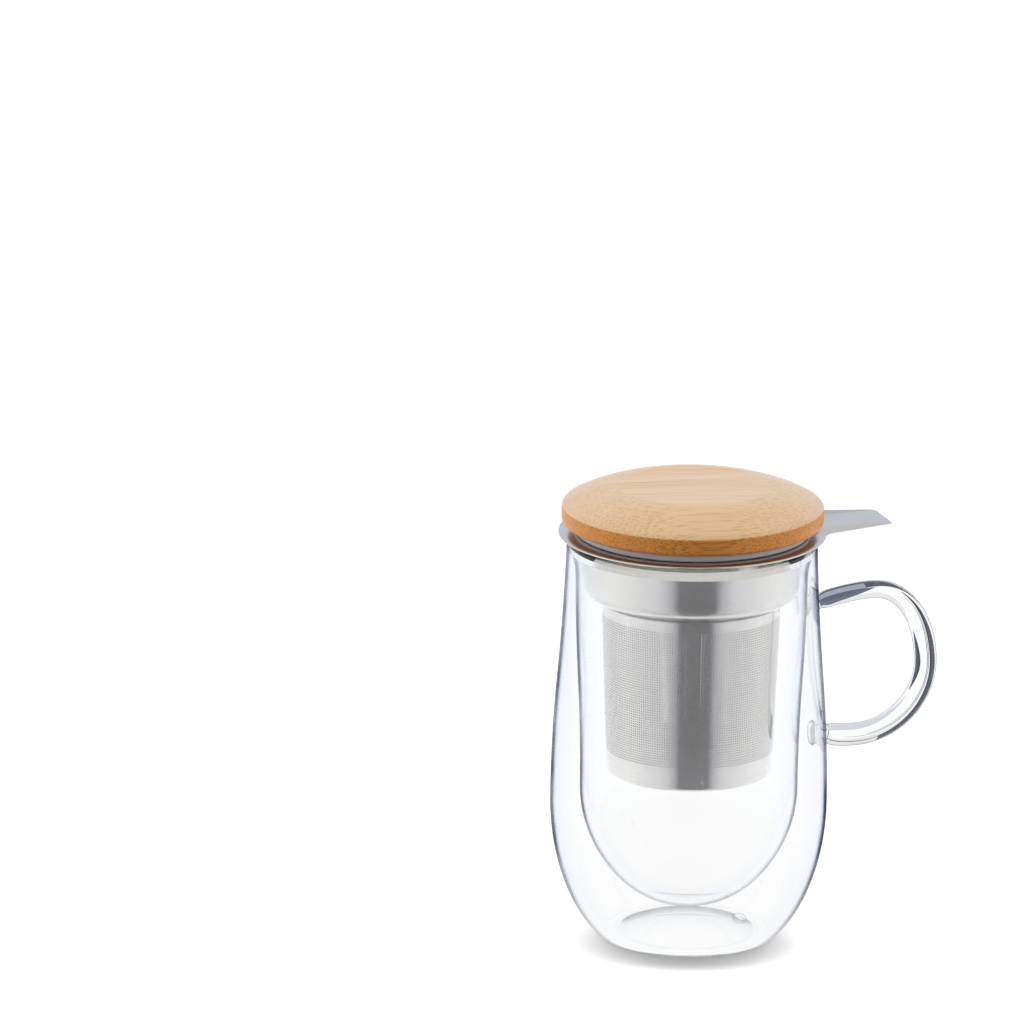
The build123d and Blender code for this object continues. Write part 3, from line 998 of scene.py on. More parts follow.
@dataclass
class SteelInfuser:
    """The collar, the perforated basket and its base, in millimetres."""

    sheet: float = 0.6
    basket_sheet: float = 0.5
    collar_bend: float = 2.0
    shoulder_rounding: float = 6.0
    tab_end_width: float = 17.0
    tab_side_angle: float = 13.0
    tab_root_rounding: float = 7.0
    tab_corner_rounding: float = 1.6
    base_rounding: float = 1.6
    base_rim_height: float = 5.0
    weld_clearance: float = 0.1
    seam_angle: float = -107.6
    seam_width: float = 4.3
    upper_band: float = 4.5
    lower_band: float = 1.4
    hole_rows: int = 57
    hole_columns: int = 210
    hole_share: float = 0.58  # of the spacing between holes
    sheet_parts: int = 3
    dimples: int = 9
    dimple_radius: float = 1.0
    dimple_depth: float = 0.16
    dimple_height: float = 3.3
    first_dimple: float = 8.2  # degrees from the seam
    edge_break: float = 0.2  # of the flange's sharp edges
    base_inner_rounding: float = 1.0
    rim_spacing: float = 1.6  # between points, at most, and so for the others
    floor_spacing: float = 0.3
    base_spacing: float = 1.5
    base_turns: int = 128
    upper_rows: int = 8  # of points on the plain band above the holes
    lower_rows: int = 28  # and on the one below
    strip_rows: int = 60
    strip_columns: int = 7
    sharp_angle: float = 50.0

    def __post_init__(self) -> None:
        """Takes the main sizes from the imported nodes."""
        collar_low, collar_high = box_mm("infuser_collar")
        basket_low, basket_high = box_mm("infuser_basket")
        base_low, base_high = box_mm("infuser_base")
        self.flange_top = collar_high[2]
        self.flange_radius = collar_high[1]
        self.tab_reach = collar_high[0]
        self.collar_low = collar_low[2]
        self.basket_radius = basket_high[1]
        self.basket_low_radius = base_high[1]
        self.basket_low = basket_low[2]
        self.infuser_low = base_low[2]
        self.collar_radius = self.basket_radius + self.shoulder_rounding

    def rim_outline(self) -> tuple[Points, Points]:
        """The flange's edge with the lifting tab, as a radius for each angle round the axis.

        The tab has straight sides that close towards its end, rounded corners, and a rounding into the
        flange's circle whose centre lies its own radius outside both.

        Returns:
            Angles in radians over one turn, closer together at the tab, and the edge's radius at each.
        """
        flange, end = self.flange_radius, self.tab_end_width / 2
        lean = radians(self.tab_side_angle)
        corner, root = self.tab_corner_rounding, self.tab_root_rounding
        along, out = np.array([-cos(lean), sin(lean)]), np.array([sin(lean), cos(lean)])
        corner_reach = self.tab_reach - corner
        corner_side = end - corner * (1 - sin(lean)) / cos(lean)
        tip = arc((corner_reach, corner_side), corner, 0, 90 - self.tab_side_angle, 8)
        base = tip[-1] + root * out
        reach = -(base @ along) - sqrt((base @ along) ** 2 - base @ base + (flange + root) ** 2)
        centre = base + reach * along
        touch = degrees(atan2(centre[1], centre[0]))
        hollow = arc(centre, root, 270 - self.tab_side_angle, touch + 180 - (270 - self.tab_side_angle), 16)
        circle = arc((0, 0), flange, touch, 180 - touch, 100)
        half = resample(chain([(self.tab_reach, 0)], tip, hollow, circle), self.rim_spacing)
        angle, radius = np.arctan2(half[:, 1], half[:, 0]), np.hypot(half[:, 0], half[:, 1])
        angle = np.concatenate([angle, 2 * pi - angle[-2:0:-1]])
        radius = np.concatenate([radius, radius[-2:0:-1]])
        return angle, radius

    def collar(self) -> Surface:
        """The drawn ring: a closed sheet profile turned round the axis, its flange stretched to the edge.

        Each point outside the bend moves out in proportion, so that the flange ends on the tab's outline.

        Returns:
            The closed surface.
        """
        sheet, bend, turn, cut = self.sheet, self.collar_bend, self.shoulder_rounding, self.edge_break
        flange_low = self.flange_top - sheet
        bend_centre = (self.collar_radius + bend, flange_low - bend)
        turn_centre = (self.collar_radius - turn, self.collar_low + turn)
        inner, edge = self.basket_radius - self.basket_sheet, self.flange_radius
        floor = np.array([(inner, self.collar_low), (turn_centre[0], self.collar_low)])
        profile = chain(
            resample(floor, self.floor_spacing),
            arc(turn_centre, turn, -90, 90, 22),
            arc(bend_centre, bend, 180, -90, 12),
            [(edge - cut, flange_low), (edge, flange_low + cut)],
            [(edge, self.flange_top - cut), (edge - cut, self.flange_top)],
            arc(bend_centre, bend + sheet, 90, 90, 12),
            arc(turn_centre, turn - sheet, 0, -90, 20),
            [(inner, self.collar_low + sheet)],
        )
        angle, reach = self.rim_outline()
        share = np.clip((profile[:, :1] - bend_centre[0]) / (edge - bend_centre[0]), 0, None)
        radius = profile[:, :1] + share * (reach - edge)
        height = np.broadcast_to(profile[:, 1:], radius.shape)
        grid = np.stack([radius * np.cos(angle), radius * np.sin(angle), height], axis=-1)
        return Surface(grid, closed_rows=True)

    def cone_radius(self, height: Points) -> Points:
        """The basket's outside radius at a height: a straight taper from the collar to the base."""
        share = (height - self.basket_low) / (self.collar_low - self.basket_low)
        return self.basket_low_radius + share * (self.basket_radius - self.basket_low_radius)

    def on_sheet(self, angle: Points, height: Points, depth: Points) -> Points:
        """Points of the basket's sheet: ((r - depth) cos a, (r - depth) sin a, z), with r the taper's radius.

        Args:
            angle: Angles round the axis, in radians.
            height: Heights.
            depth: How far inside the outer face.

        Returns:
            Points with x, y and z along a new last axis.
        """
        angle, height, depth = np.broadcast_arrays(angle, height, depth)
        radius = self.cone_radius(height) - depth
        return np.stack([radius * np.cos(angle), radius * np.sin(angle), height], axis=-1)

    def hole_field(self) -> tuple[Points, Points]:
        """The lines between the holes, in even steps from the seam round and from band to band.

        Returns:
            Angles of the columns' edges, in radians, and heights of the rows' edges.
        """
        seam = radians(self.seam_angle)
        half = self.seam_width / 2 / self.basket_radius
        angles = np.linspace(seam + half, seam + 2 * pi - half, self.hole_columns + 1)
        low = self.basket_low + self.base_rim_height + self.lower_band
        return angles, np.linspace(low, self.collar_low - self.upper_band, self.hole_rows + 1)

    def perforated_part(self, part: int) -> tuple[Points, Points]:
        """One part of the perforated sheet: a grid with an eight-sided hole in each cell.

        Four faces fill a cell, and each joins two of its corners to three points of the hole. The inner skin
        repeats that inside, and a wall joins the two round each hole.

        Args:
            part: Number of the part, counted round from the seam.

        Returns:
            Points, and the faces as rows of five vertex numbers. A wall's face repeats its first vertex.
        """
        angles, heights = self.hole_field()
        columns = self.hole_columns // self.sheet_parts
        angles = angles[part * columns : (part + 1) * columns + 1]
        rows = self.hole_rows
        ring = np.radians(np.arange(8) * 45)
        mid_angle = (angles[:-1] + angles[1:]) / 2
        mid_height = (heights[:-1] + heights[1:]) / 2
        half_angle = self.hole_share / 2 * (angles[1] - angles[0])
        half_height = self.hole_share / 2 * (heights[1] - heights[0])
        lattice_angle, lattice_height = np.meshgrid(angles, heights)
        ring_angle = mid_angle[None, :, None] + half_angle * np.cos(ring) + 0 * mid_height[:, None, None]
        ring_height = mid_height[:, None, None] + half_height * np.sin(ring) + 0 * mid_angle[None, :, None]
        skins = []
        for depth in (0.0, self.basket_sheet):
            skins.append(self.on_sheet(lattice_angle, lattice_height, depth).reshape(-1, 3))
            skins.append(self.on_sheet(ring_angle, ring_height, depth).reshape(-1, 3))
        points = np.concatenate(skins)
        row, column = np.meshgrid(np.arange(rows), np.arange(columns), indexing="ij")
        corner = row * (columns + 1) + column
        corners = np.stack([corner + columns + 2, corner + columns + 1, corner, corner + 1], axis=-1)
        first_ring = (rows + 1) * (columns + 1)
        rings = first_ring + 8 * (row * columns + column)[..., None] + np.arange(8)
        inner = len(points) // 2
        outside, inside, walls = [], [], []
        for side in range(4):
            next_side = (side + 1) % 4
            at, mid, end = 2 * side + 1, (2 * side + 2) % 8, (2 * side + 3) % 8
            cell = [corners[..., side], corners[..., next_side]]
            face = [*cell, rings[..., end], rings[..., mid], rings[..., at]]
            outside.append(np.stack(face, axis=-1))
            inside.append(np.stack(face[::-1], axis=-1) + inner)
        for spoke in range(8):
            here, there = rings[..., spoke], rings[..., (spoke + 1) % 8]
            walls.append(np.stack([here, there, there + inner, here + inner, here], axis=-1))
        return points, np.concatenate([np.reshape(face, (-1, 5)) for face in (*outside, *inside, *walls)])

    def sheet_mesh(self, part: int) -> bpy.types.Mesh:
        """Makes the mesh of one part of the perforated sheet.

        Args:
            part: Number of the part.

        Returns:
            The mesh, in metres.
        """
        points, loops = self.perforated_part(part)
        walls = loops[:, 4] == loops[:, 0]
        mesh = bpy.data.meshes.new(f"basket_sheet_{part + 1}")
        faces = [*loops[~walls].tolist(), *loops[walls, :4].tolist()]
        mesh.from_pydata((points * MM).tolist(), [], faces)
        return mesh

    def bands(self) -> list[Surface]:
        """The plain sheet round the holes: two bands and the seam strip, each with its thickness.

        The lower band has the shallow round dimples of its spot welds, a cosine bell each.

        Returns:
            The two closed bands, and the strip, which is open at its ends where it meets them.
        """
        angles, heights = self.hole_field()
        step = np.diff(angles).mean()
        seam_start = angles[-1] - 2 * pi
        strip = np.linspace(seam_start, angles[0], self.strip_columns)
        around = np.concatenate([angles[:-1], angles[-1] + (strip[:-1] - seam_start)])
        around = np.sort(np.concatenate([around, around + step / 2]))
        upper = self.sheet_ring(around, np.linspace(heights[-1], self.collar_low, self.upper_rows))
        below = np.linspace(self.basket_low, heights[0], self.lower_rows)
        lower = self.sheet_ring(around, below, dimpled=True)
        level = np.linspace(heights[0], heights[-1], self.strip_rows)
        depth = np.array([0.0, self.basket_sheet])
        edge = np.concatenate([strip, strip[::-1]])
        deep = np.repeat(depth, len(strip))
        columns = self.on_sheet(edge[None, :], level[:, None], deep[None, :])
        return [upper, lower, Surface(columns)]

    def sheet_ring(self, around: Points, levels: Points, dimpled: bool = False) -> Surface:
        """A closed band of the basket's sheet.

        Args:
            around: Angles of its columns.
            levels: Heights of its rows.
            dimpled: True if it has the spot welds.

        Returns:
            The closed surface.
        """
        height = np.concatenate([levels, levels[::-1]])[:, None]
        depth = np.repeat([0.0, self.basket_sheet], len(levels))[:, None] + 0 * around
        if dimpled:
            first = radians(self.seam_angle + self.first_dimple)
            welds = first + 2 * pi * np.arange(self.dimples) / self.dimples
            aside = np.angle(np.exp(1j * (around[:, None] - welds))) * self.basket_low_radius
            nearest = np.abs(aside).min(axis=1)
            above = height - (self.infuser_low + self.dimple_height)
            reach = np.clip(np.hypot(nearest[None, :], above) / self.dimple_radius, 0, 1)
            depth = depth + self.dimple_depth * (1 + np.cos(pi * reach)) / 2
        grid = self.on_sheet(around[None, :], height + 0 * around, depth)
        return Surface(grid, closed_rows=True)

    def base(self) -> Surface:
        """The pressed base cup: a sheet profile turned round the axis, with a rim that stands in the basket.

        Returns:
            The surface.
        """
        rim = self.basket_low_radius - self.basket_sheet - self.weld_clearance
        outer, inner = self.base_rounding, self.base_inner_rounding
        top = self.basket_low + self.base_rim_height
        floor = self.infuser_low + self.sheet
        profile = chain(
            [(0, self.infuser_low)],
            arc((self.basket_low_radius - outer, self.infuser_low + outer), outer, -90, 90, 12),
            [(rim, self.basket_low), (rim, top), (rim - self.sheet, top)],
            arc((rim - self.sheet - inner, floor + inner), inner, 0, -90, 6),
            [(0, floor)],
        )
        return lathe(resample(profile, self.base_spacing), self.base_turns)

    def build(self) -> None:
        """Makes and dresses the steel pieces."""
        # The collar and the basket get painted shade next to the seam where they meet.
        drawn = StainlessSteel(SteelGrade.DRAWN, self.collar_low).material()
        polished = StainlessSteel(SteelGrade.POLISHED, self.collar_low).material()
        collar = Placement(Body.INFUSER, Slot.STEEL, ("infuser_collar",))
        collar.place_surfaces("infuser_collar_sheet", [self.collar()], drawn, self.sharp_angle)
        basket = Placement(Body.INFUSER, Slot.STEEL, ("infuser_basket",))
        basket.place_surfaces("basket_bands", self.bands(), polished, self.sharp_angle)
        hung = Placement(Body.INFUSER, Slot.STEEL, ())
        for part in range(self.sheet_parts):
            hung.place(self.sheet_mesh(part), polished, self.sharp_angle)
        base = Placement(Body.INFUSER, Slot.STEEL, ("infuser_base",))
        base.place_surfaces("basket_base", [self.base()], polished, self.sharp_angle)


@dataclass
class BambooLid:
    """The turned cap, its silicone seal and the steel pan below, in millimetres."""

    turns: int = 192
    flat_diameter: float = 47.6
    cap_bulge: float = 0.9
    edge_rounding: float = 0.8
    lower_rounding: float = 1.4
    lip_groove: float = 0.6
    lip_rounding: float = 1.0
    seal_wall: float = 3.5
    weld_clearance: float = 0.1
    plug_clearance_step: float = 1.2
    pan_rounding: float = 1.3
    pan_raise: float = 0.9  # of the pan's floor over its solid's, so that less steel shows, as photographed
    sheet: float = 0.6
    cap_band: float = 6.0
    slope_gap: float = 0.2  # between the slope's last point and the flat's edge
    flat_gap: float = 0.6  # between that edge and the flat's first point
    plug_depth: float = 7.3
    plug_rounding: float = 0.5
    cap_spacing: float = 1.2  # between points, at most, and so for the others
    seal_spacing: float = 1.0
    pan_spacing: float = 1.5
    cap_drop: float = 0.8  # of the cap's edge below its solid's, over the lip, as photographed

    def __post_init__(self) -> None:
        """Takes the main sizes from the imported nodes."""
        cap_low, cap_high = box_mm("lid_cap")
        seal_low, seal_high = box_mm("lid_seal")
        pan_low, pan_high = box_mm("lid_pan")
        self.cap_top, self.cap_radius = cap_high[2], cap_high[1]
        self.cap_low = seal_high[2] - self.cap_drop
        self.spigot_low = cap_low[2] + self.pan_raise
        self.lip_radius = seal_high[0]
        self.plug_low = seal_low[2]
        self.pan_radius, self.pan_low = pan_high[0], pan_low[2] + self.pan_raise
        self.plug_radius = self.pan_radius + self.plug_clearance_step
        self.bore_radius = self.plug_radius - self.seal_wall
        self.lip_low = self.plug_low + self.plug_depth

    def cap_line(self) -> Points:
        """Half the cap's section: flat top, slope that bulges as a parabola, rounded band and spigot.

        Returns:
            Rows of radius and height, from the axis below round to the axis above.
        """
        band_top = self.cap_low + self.cap_band
        flat = self.flat_diameter / 2
        start, end = np.array([self.cap_radius, band_top]), np.array([flat, self.cap_top])
        share = np.linspace(0, 1, 40)[:, None]
        chord = end - start
        lift = np.array([-chord[1], chord[0]]) / np.linalg.norm(chord)
        slope = start + share * chord - 4 * self.cap_bulge * share * (1 - share) * lift
        low, high = self.lower_rounding, self.edge_rounding
        band = chain(
            arc((self.cap_radius - low, self.cap_low + low), low, -90, 90, 10),
            arc((self.cap_radius - high, band_top - high), high, 0, 60, 8),
        )
        spigot = self.bore_radius - self.weld_clearance
        upper = slope[(slope[:, 0] < self.cap_radius - high) & (slope[:, 0] > flat + self.slope_gap)]
        return chain(
            [(0, self.spigot_low), (spigot, self.spigot_low), (spigot, self.cap_low)],
            band,
            upper,
            [(flat - self.flat_gap, self.cap_top), (0, self.cap_top)],
        )

    def seal_line(self) -> Points:
        """The seal's closed section: the plug's wall and, above it, the lip that rests on the flange.

        Returns:
            Rows of radius and height, from the plug's lower inner edge.
        """
        lip, soft, edge = self.lip_radius, self.lip_rounding, self.plug_rounding
        lip_top = self.cap_low - self.lip_groove
        return chain(
            [(self.bore_radius, self.plug_low)],
            arc((self.plug_radius - edge, self.plug_low + edge), edge, -90, 90, 6),
            [(self.plug_radius, self.lip_low)],
            arc((lip - soft, self.lip_low + soft), soft, -90, 90, 10),
            arc((lip - soft, lip_top - soft), soft, 0, 90, 10),
            [(self.plug_radius, lip_top), (self.plug_radius, self.cap_low), (self.bore_radius, self.cap_low)],
        )

    def pan_line(self) -> Points:
        """The pan's section: a flat floor with a rounded edge, in sheet of even thickness.

        Returns:
            Rows of radius and height, from the axis out and back.
        """
        turn = (self.pan_radius - self.pan_rounding, self.pan_low + self.pan_rounding)
        return chain(
            [(0, self.pan_low)],
            arc(turn, self.pan_rounding, -90, 90, 14),
            [(self.pan_radius, self.plug_low), (self.pan_radius - self.sheet, self.plug_low)],
            arc(turn, self.pan_rounding - self.sheet, 0, -90, 10),
            [(0, self.pan_low + self.sheet)],
        )

    def build(self) -> None:
        """Makes and dresses the lid's pieces."""
        cap = lathe(resample(self.cap_line(), self.cap_spacing), self.turns)
        bamboo = LaminatedBamboo().material()
        Placement(Body.LID, Slot.BAMBOO, ("lid_cap",)).place_surfaces("bamboo_cap", [cap], bamboo, 35)
        seal = lathe(resample(self.seal_line(), self.seal_spacing), self.turns, closed=True)
        silicone = MouldedSilicone().material()
        Placement(Body.LID, Slot.SILICONE, ("lid_seal",)).place_surfaces("silicone_seal", [seal], silicone)
        pan = lathe(resample(self.pan_line(), self.pan_spacing), self.turns)
        steel = StainlessSteel(SteelGrade.POLISHED).material()
        Placement(Body.LID, Slot.STEEL, ("lid_pan",)).place_surfaces("steel_pan", [pan], steel)


@dataclass(frozen=True)
class RodStreak:
    """A ribbon of card behind the handle's rod, which the round glass bends into a streak along it.

    The rod turns the ribbon over: one that lies inside the rod's centre line shows on the rod's outer side.
    The edges are how far outside that line each runs, in millimetres.
    """

    colour: str
    shares: Range  # of the rod's length, from its upper weld
    start: Range
    middle: Range
    end: Range


@dataclass
class Studio:
    """The white studio: camera, floor, light, and cards that only the steel or the handle's rod shows.

    Lengths are in millimetres and angles in degrees, where nothing else is said.
    """

    azimuth: float = -18.8
    elevation: float = 15.6
    distance: float = 4800.0
    frame_width: float = 334.1  # seen across the picture at the cup, in millimetres
    aim_left: float = 56.9
    aim_up: float = 137.0
    roll: float = 0.67
    sensor_width: float = 36.0
    clip: Range = (0.1, 100.0)  # nearest and furthest that the camera sees, in metres
    floor_size: float = 40000.0
    sky_strength: float = 0.45
    floor_strength: float = 0.32
    left_lamp: float = 1.5
    right_lamp: float = 1.3
    lamp_height: float = 32.0
    lamp_spread: float = 60.0
    lamp_angle: float = 95.0  # of each lamp from the camera, round the cup
    floor_colour: str = "#8C8C8C"
    floor_glow: float = 0.9
    shadow_range: Range = (0.3, 0.78)  # openness of the floor, from the darkest shadow to its end
    shadow_reach: float = 14.0
    shadow_lean: float = 86.0  # of the light that the contact shadow shuts out, away from the camera
    shadow_samples: int = 16
    card_turn: float = 5.0
    card_wide: float = 550.0  # from the axis, up to which the card's dark part is wider, in millimetres
    card_even: float = 750.0  # and from which it isn't
    card_widening: float = 1.4
    card_strength: float = 1.4
    card_near: float = 48.0
    card_far: float = 2000.0
    card_height: float = 1.0
    card_columns: int = 96
    band_radius: float = 3000.0
    band_height: float = 1500.0
    ribbon_distance: float = 7.7  # from the rod's centre line
    ribbon_layer: float = 0.05  # between one ribbon and the next behind it
    ribbon_points: int = 60
    streaks: tuple[RodStreak, ...] = (
        RodStreak("#5D6B60", (0.018, 0.04), (-4.0, 4.0), (-4.0, 4.0), (-3.6, 3.6)),
        RodStreak("#5A5E72", (0.02, 0.21), (0.1, 4.6), (0.15, 2.6), (0.3, 0.36)),
        RodStreak("#4C5063", (0.18, 0.38), (-3.2, 0.1), (-5.0, -1.2), (-7.0, -5.6)),
        RodStreak("#3E4254", (0.02, 0.30), (-7.5, -2.6), (-7.5, -2.6), (-7.5, -4.0)),
        RodStreak("#A3A6B6", (0.02, 0.27), (-7.5, 4.6), (-7.5, 1.0), (-7.5, -1.2)),
        RodStreak("#373B4C", (0.29, 0.81), (-0.8, -0.55), (-3.6, -0.5), (-6.2, -1.3)),
        RodStreak("#34384A", (0.42, 0.64), (2.6, 2.7), (1.0, 4.5), (2.4, 2.5)),
        RodStreak("#D3D5DE", (0.66, 0.98), (2.0, 2.2), (1.0, 5.0), (0.8, 6.0)),
        RodStreak("#4A4E60", (0.30, 0.84), (-0.12, -0.03), (-0.12, -0.03), (-0.1, -0.06)),
        RodStreak("#5A5E70", (0.36, 0.92), (-0.34, -0.26), (-0.34, -0.24), (-0.3, -0.26)),
        RodStreak("#6A6E80", (0.80, 0.98), (-1.9, -1.7), (-1.8, -1.4), (-1.6, -1.2)),
        RodStreak("#8E988F", (0.962, 0.982), (-3.6, 3.6), (-4.0, 4.0), (-4.0, 4.0)),
    )
    glass_surfaces: float = 8.0  # that light crosses to the infuser in the cup and back
    rod_surfaces: float = 2.0  # that it crosses in the handle's rod
    count_slack: float = 0.1
    bounces: int = 64
    clear_bounces: int = 32

    def camera(self) -> None:
        """Sets the camera at the photograph's angle, aimed beside the cup, with no shift."""
        turn, tilt, roll = radians(self.azimuth), radians(self.elevation), radians(self.roll)
        right = Vector((cos(turn), sin(turn), 0))
        back = Vector((sin(turn) * cos(tilt), -cos(turn) * cos(tilt), sin(tilt)))
        up = back.cross(right)
        right, up = right * cos(roll) + up * sin(roll), up * cos(roll) - right * sin(roll)
        aim = (up * self.aim_up - right * self.aim_left) * MM
        data = bpy.data.cameras.new("camera")
        data.sensor_width = self.sensor_width
        data.lens = data.sensor_width * self.distance / self.frame_width
        data.clip_start, data.clip_end = self.clip
        camera = bpy.data.objects.new("camera", data)
        place = Matrix((right, up, back)).transposed().to_4x4()
        place.translation = aim + back * self.distance * MM
        camera.matrix_world = place
        bpy.context.scene.collection.objects.link(camera)
        bpy.context.scene.camera = camera

    def hang(self, name: str, surface: Surface, material: Material, seen: bool = False) -> None:
        """Hangs a sheet in the studio. Unless it is seen, it is out of the picture and off the lamps' light.

        Args:
            name: Name of the sheet.
            surface: Its shape.
            material: Its material.
            seen: True if the camera sees it.
        """
        mesh = surfaces_mesh(name, [surface])
        mesh.materials.append(material)
        sheet = bpy.data.objects.new(name, mesh)
        bpy.context.scene.collection.objects.link(sheet)
        sheet.visible_camera = seen
        sheet.visible_diffuse = seen
        sheet.visible_shadow = seen

    def floor(self) -> None:
        """Lays the pale floor, which shows white where nothing shades it and keeps the contact shadow."""
        material, tree = new_material("studio_floor")
        path = add_node(tree, "LightPath").outputs
        turn, lean = radians(self.azimuth), radians(self.shadow_lean)
        behind = add_node(tree, "CombineXYZ", (-sin(turn) * sin(lean), cos(turn) * sin(lean), cos(lean)))
        reach = {"Distance": self.shadow_reach * MM, "Normal": behind}
        near = add_node(tree, "AmbientOcclusion", reach, samples=self.shadow_samples).outputs["AO"]
        glow = add_node(tree, "MapRange", (near, *self.shadow_range, 0.0, self.floor_glow))
        white = add_node(tree, "Emission", {"Strength": glow})
        matt = add_node(tree, "BsdfDiffuse", {"Color": linear(self.floor_colour)})
        direct = add_node(tree, "AddShader", (white, matt))
        around = add_node(tree, "Emission", {"Strength": self.room_level(tree, self.floor_strength)})
        floor = add_node(tree, "MixShader", (path["Is Camera Ray"], around, direct))
        add_node(tree, "OutputMaterial", {"Surface": floor})
        material.cycles.emission_sampling = "NONE"
        half = self.floor_size / 2
        corners = np.array([[(-half, -half, 0), (half, -half, 0)], [(-half, half, 0), (half, half, 0)]])
        self.hang("floor", Surface(corners, closed_columns=False), material, seen=True)

    def room_level(self, tree: Tree, strength: float) -> Node:
        """Brightness of the room: white where it is seen, also in metal and glass, and softer as light.

        Args:
            tree: The node tree that needs it.
            strength: How bright it is as a light.

        Returns:
            The node with the value.
        """
        path = add_node(tree, "LightPath").outputs
        seen = path["Is Camera Ray"]
        for kind in ("Is Glossy Ray", "Is Transmission Ray"):
            seen = add_node(tree, "Math", (seen, path[kind]), operation="MAXIMUM")
        return add_node(tree, "MapRange", (seen, 0.0, 1.0, strength, 1.0))

    def shown_where(self, material: Material, shown: Node, light: Node) -> None:
        """Ends a card's material so that it is clear but where it is to be shown.

        Args:
            material: The material.
            shown: Is 1 where it shows.
            light: What it then shows.
        """
        tree = material.node_tree
        mix = add_node(tree, "MixShader", (shown, add_node(tree, "BsdfTransparent"), light))
        add_node(tree, "OutputMaterial", {"Surface": mix})
        material.cycles.emission_sampling = "NONE"

    def mirrored_only(self, name: str, stops: dict[float, str]) -> Material:
        """A card's material that shows only in what the steel mirrors, in the open or behind both walls.

        Its colour depends on the angle round the Z axis from the camera's side.

        Args:
            name: Name of the material.
            stops: sRGB hex colour at each share of the half turn from the camera's side to the far side.

        Returns:
            The material.
        """
        material, tree = new_material(name)
        path = add_node(tree, "LightPath").outputs
        mirrored = add_node(tree, "Math", (path["Glossy Depth"], 0.5), operation="GREATER_THAN")
        crossed = (path["Transmission Depth"], self.glass_surfaces, self.count_slack)
        through_glass = add_node(tree, "Math", crossed, operation="COMPARE")
        in_open = add_node(tree, "Math", (1.0, path["Is Singular Ray"]), operation="SUBTRACT")
        either = add_node(tree, "Math", (through_glass, in_open), operation="MAXIMUM")
        shown = add_node(tree, "Math", (mirrored, either), operation="MULTIPLY")
        place = add_node(tree, "TexCoord").outputs["Object"]
        turn = (0.0, 0.0, pi / 2 - radians(self.azimuth + self.card_turn))
        turned = add_node(tree, "Mapping", {"Vector": place, "Rotation": turn})
        axes = add_node(tree, "SeparateXYZ", (turned,)).outputs
        angle = add_node(tree, "Math", (axes["Y"], axes["X"]), operation="ARCTAN2")
        apart = add_node(tree, "Math", (angle,), operation="ABSOLUTE")
        reach = add_node(tree, "VectorMath", (place,), operation="LENGTH")
        spread = (self.card_wide * MM, self.card_even * MM, pi * self.card_widening, pi)
        half_turn = add_node(tree, "MapRange", (reach, *spread))
        share = add_node(tree, "Math", (apart, half_turn), operation="DIVIDE")
        colour = add_node(tree, "ValToRGB", (share,), stops)
        light = add_node(tree, "Emission", {"Color": colour, "Strength": self.card_strength})
        self.shown_where(material, shown, light)
        return material

    def refracted_only(self, name: str, colour: str) -> Material:
        """A card's material that shows only through a solid piece of glass, such as the handle's rod.

        Args:
            name: Name of the material.
            colour: sRGB hex colour of the card.

        Returns:
            The material.
        """
        material, tree = new_material(name)
        path = add_node(tree, "LightPath").outputs
        crossed = (path["Transmission Depth"], self.rod_surfaces, self.count_slack)
        through_rod = add_node(tree, "Math", crossed, operation="COMPARE")
        self.shown_where(material, through_rod, add_node(tree, "Emission", {"Color": linear(colour)}))
        return material

    def rod_cards(self, line: Points) -> None:
        """Hangs the ribbons that the handle's rod bends into streaks, before and behind it.

        Each of a ribbon's edges is the parabola through its start, middle and end.

        Args:
            line: The rod's centre line in the XZ plane.
        """
        turn, tilt = radians(self.azimuth), radians(self.elevation)
        away = np.array([-sin(turn) * cos(tilt), cos(turn) * cos(tilt), -sin(tilt)])
        share = np.linspace(0, 1, self.ribbon_points)[:, None]
        for number, streak in enumerate(self.streaks):
            name = f"rod_streak_{number + 1}"
            material = self.refracted_only(name, streak.colour)
            first, last = streak.shares
            place = (first + share[:, 0] * (last - first)) * run_length(line)[-1]
            centre = np.insert(at_length(line, place), 1, 0.0, axis=1)
            outward = np.cross(np.gradient(centre, axis=0), away)
            outward /= np.linalg.norm(outward, axis=1, keepdims=True)
            edges = (1 - share) * (1 - 2 * share) * np.array(streak.start)
            edges = edges + 4 * share * (1 - share) * np.array(streak.middle)
            edges = edges + share * (2 * share - 1) * np.array(streak.end)
            for side, where in ((-1, "before"), (1, "behind")):
                depth = side * (self.ribbon_distance + number * self.ribbon_layer)
                grid = centre[:, None] + outward[:, None] * edges[..., None] + depth * away
                self.hang(f"{name}_{where}", Surface(grid, closed_columns=False), material)

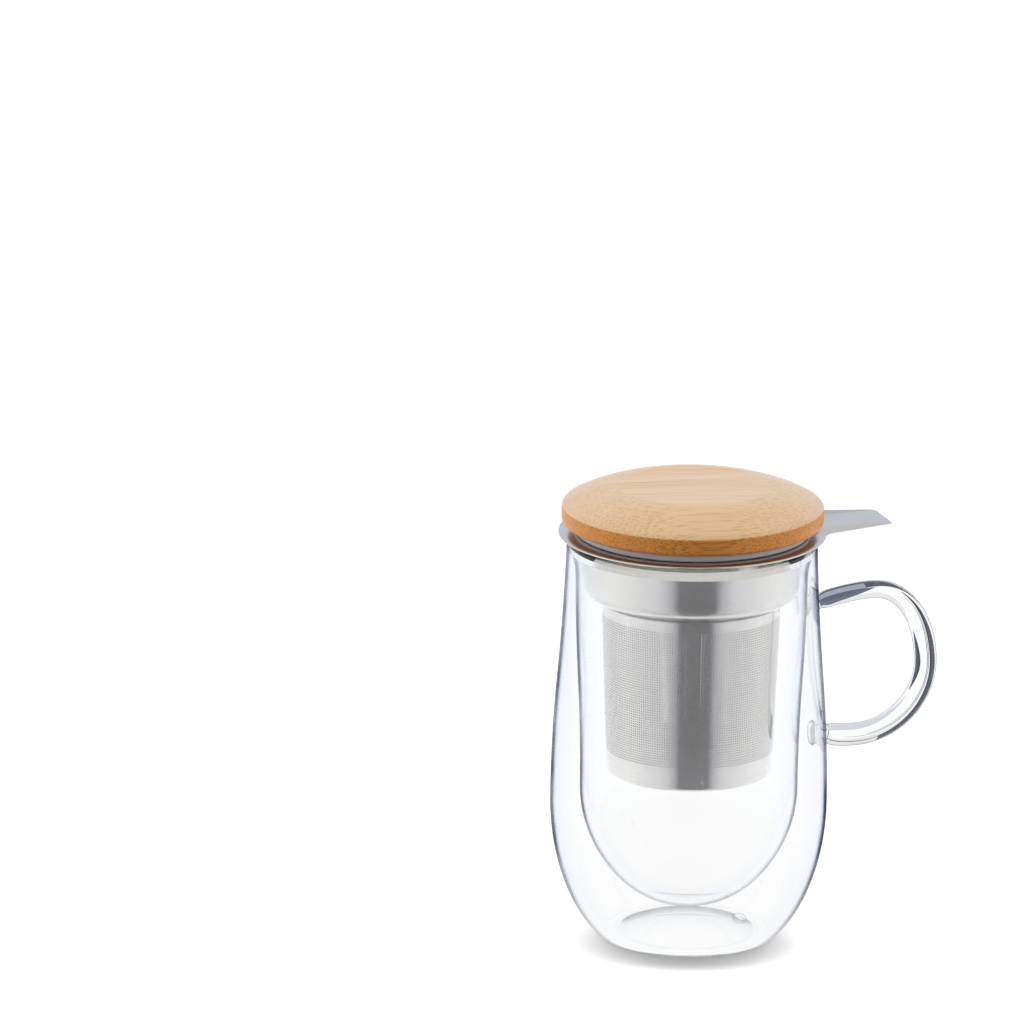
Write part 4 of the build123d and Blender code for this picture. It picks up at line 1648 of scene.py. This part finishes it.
    def cards(self, rod_line: Points) -> None:
        """Hangs the card that upright steel mirrors, the band that level steel mirrors and the rod's ribbons.

        Args:
            rod_line: The handle's centre line in the XZ plane.
        """
        upright_stops = {
            0.0: "#161C28",
            0.07: "#1A212E",
            0.1: "#A4A7B1",
            0.15: "#D6D8DE",
            0.36: "#FAFCFF",
            0.55: "#F4F7FD",
            0.75: "#DCE1EC",
            0.95: "#F4F8FF",
        }
        low = np.array([(self.card_far, self.card_height), (self.card_near, self.card_height)])
        upright = self.mirrored_only("floor_card", upright_stops)
        self.hang("floor_card", lathe(low, self.card_columns), upright)
        high = np.array([(self.band_radius, self.band_height), (self.band_radius, 0.0)])
        level = self.mirrored_only("wall_band", {0.0: "#B4BBC8", 1.0: "#C0C6D2"})
        self.hang("wall_band", lathe(high, self.card_columns), level)
        self.rod_cards(rod_line)

    def light(self) -> None:
        """Lights the scene softly from all round, with a broad lamp on each side."""
        world = bpy.data.worlds.new("studio")
        bpy.context.scene.world = world
        world.use_nodes = True
        tree = world.node_tree
        tree.nodes.clear()
        sky = add_node(tree, "Background", {"Strength": self.room_level(tree, self.sky_strength)})
        add_node(tree, "OutputWorld", {"Surface": sky})

        for name, side, strength in (("left_lamp", -1, self.left_lamp), ("right_lamp", 1, self.right_lamp)):
            data = bpy.data.lights.new(name, "SUN")
            data.energy = strength
            data.angle = radians(self.lamp_spread)
            lamp = bpy.data.objects.new(name, data)
            turn, height = radians(self.azimuth + side * self.lamp_angle), radians(self.lamp_height)
            direction = Vector((sin(turn) * cos(height), -cos(turn) * cos(height), sin(height)))
            lamp.rotation_euler = direction.to_track_quat("Z", "Y").to_euler()
            lamp.visible_glossy = False
            lamp.visible_transmission = False
            bpy.context.scene.collection.objects.link(lamp)

    def build(self, rod_line: Points) -> None:
        """Sets up the studio.

        Args:
            rod_line: The handle's centre line in the XZ plane.
        """
        scene = bpy.context.scene
        scene.view_settings.view_transform = "Standard"
        scene.cycles.max_bounces = self.bounces
        scene.cycles.transmission_bounces = self.bounces
        scene.cycles.glossy_bounces = self.bounces
        scene.cycles.transparent_max_bounces = self.clear_bounces
        self.camera()
        self.floor()
        self.cards(rod_line)
        self.light()


def main() -> None:
    """Builds the studio and the object, piece by piece."""
    logging.basicConfig(level=logging.INFO, format="%(name)s: %(message)s")
    cup = GlassCup()
    Studio().build(cup.handle_line())
    cup.build()
    SteelInfuser().build()
    BambooLid().build()


if __name__ == "__main__":
    main()
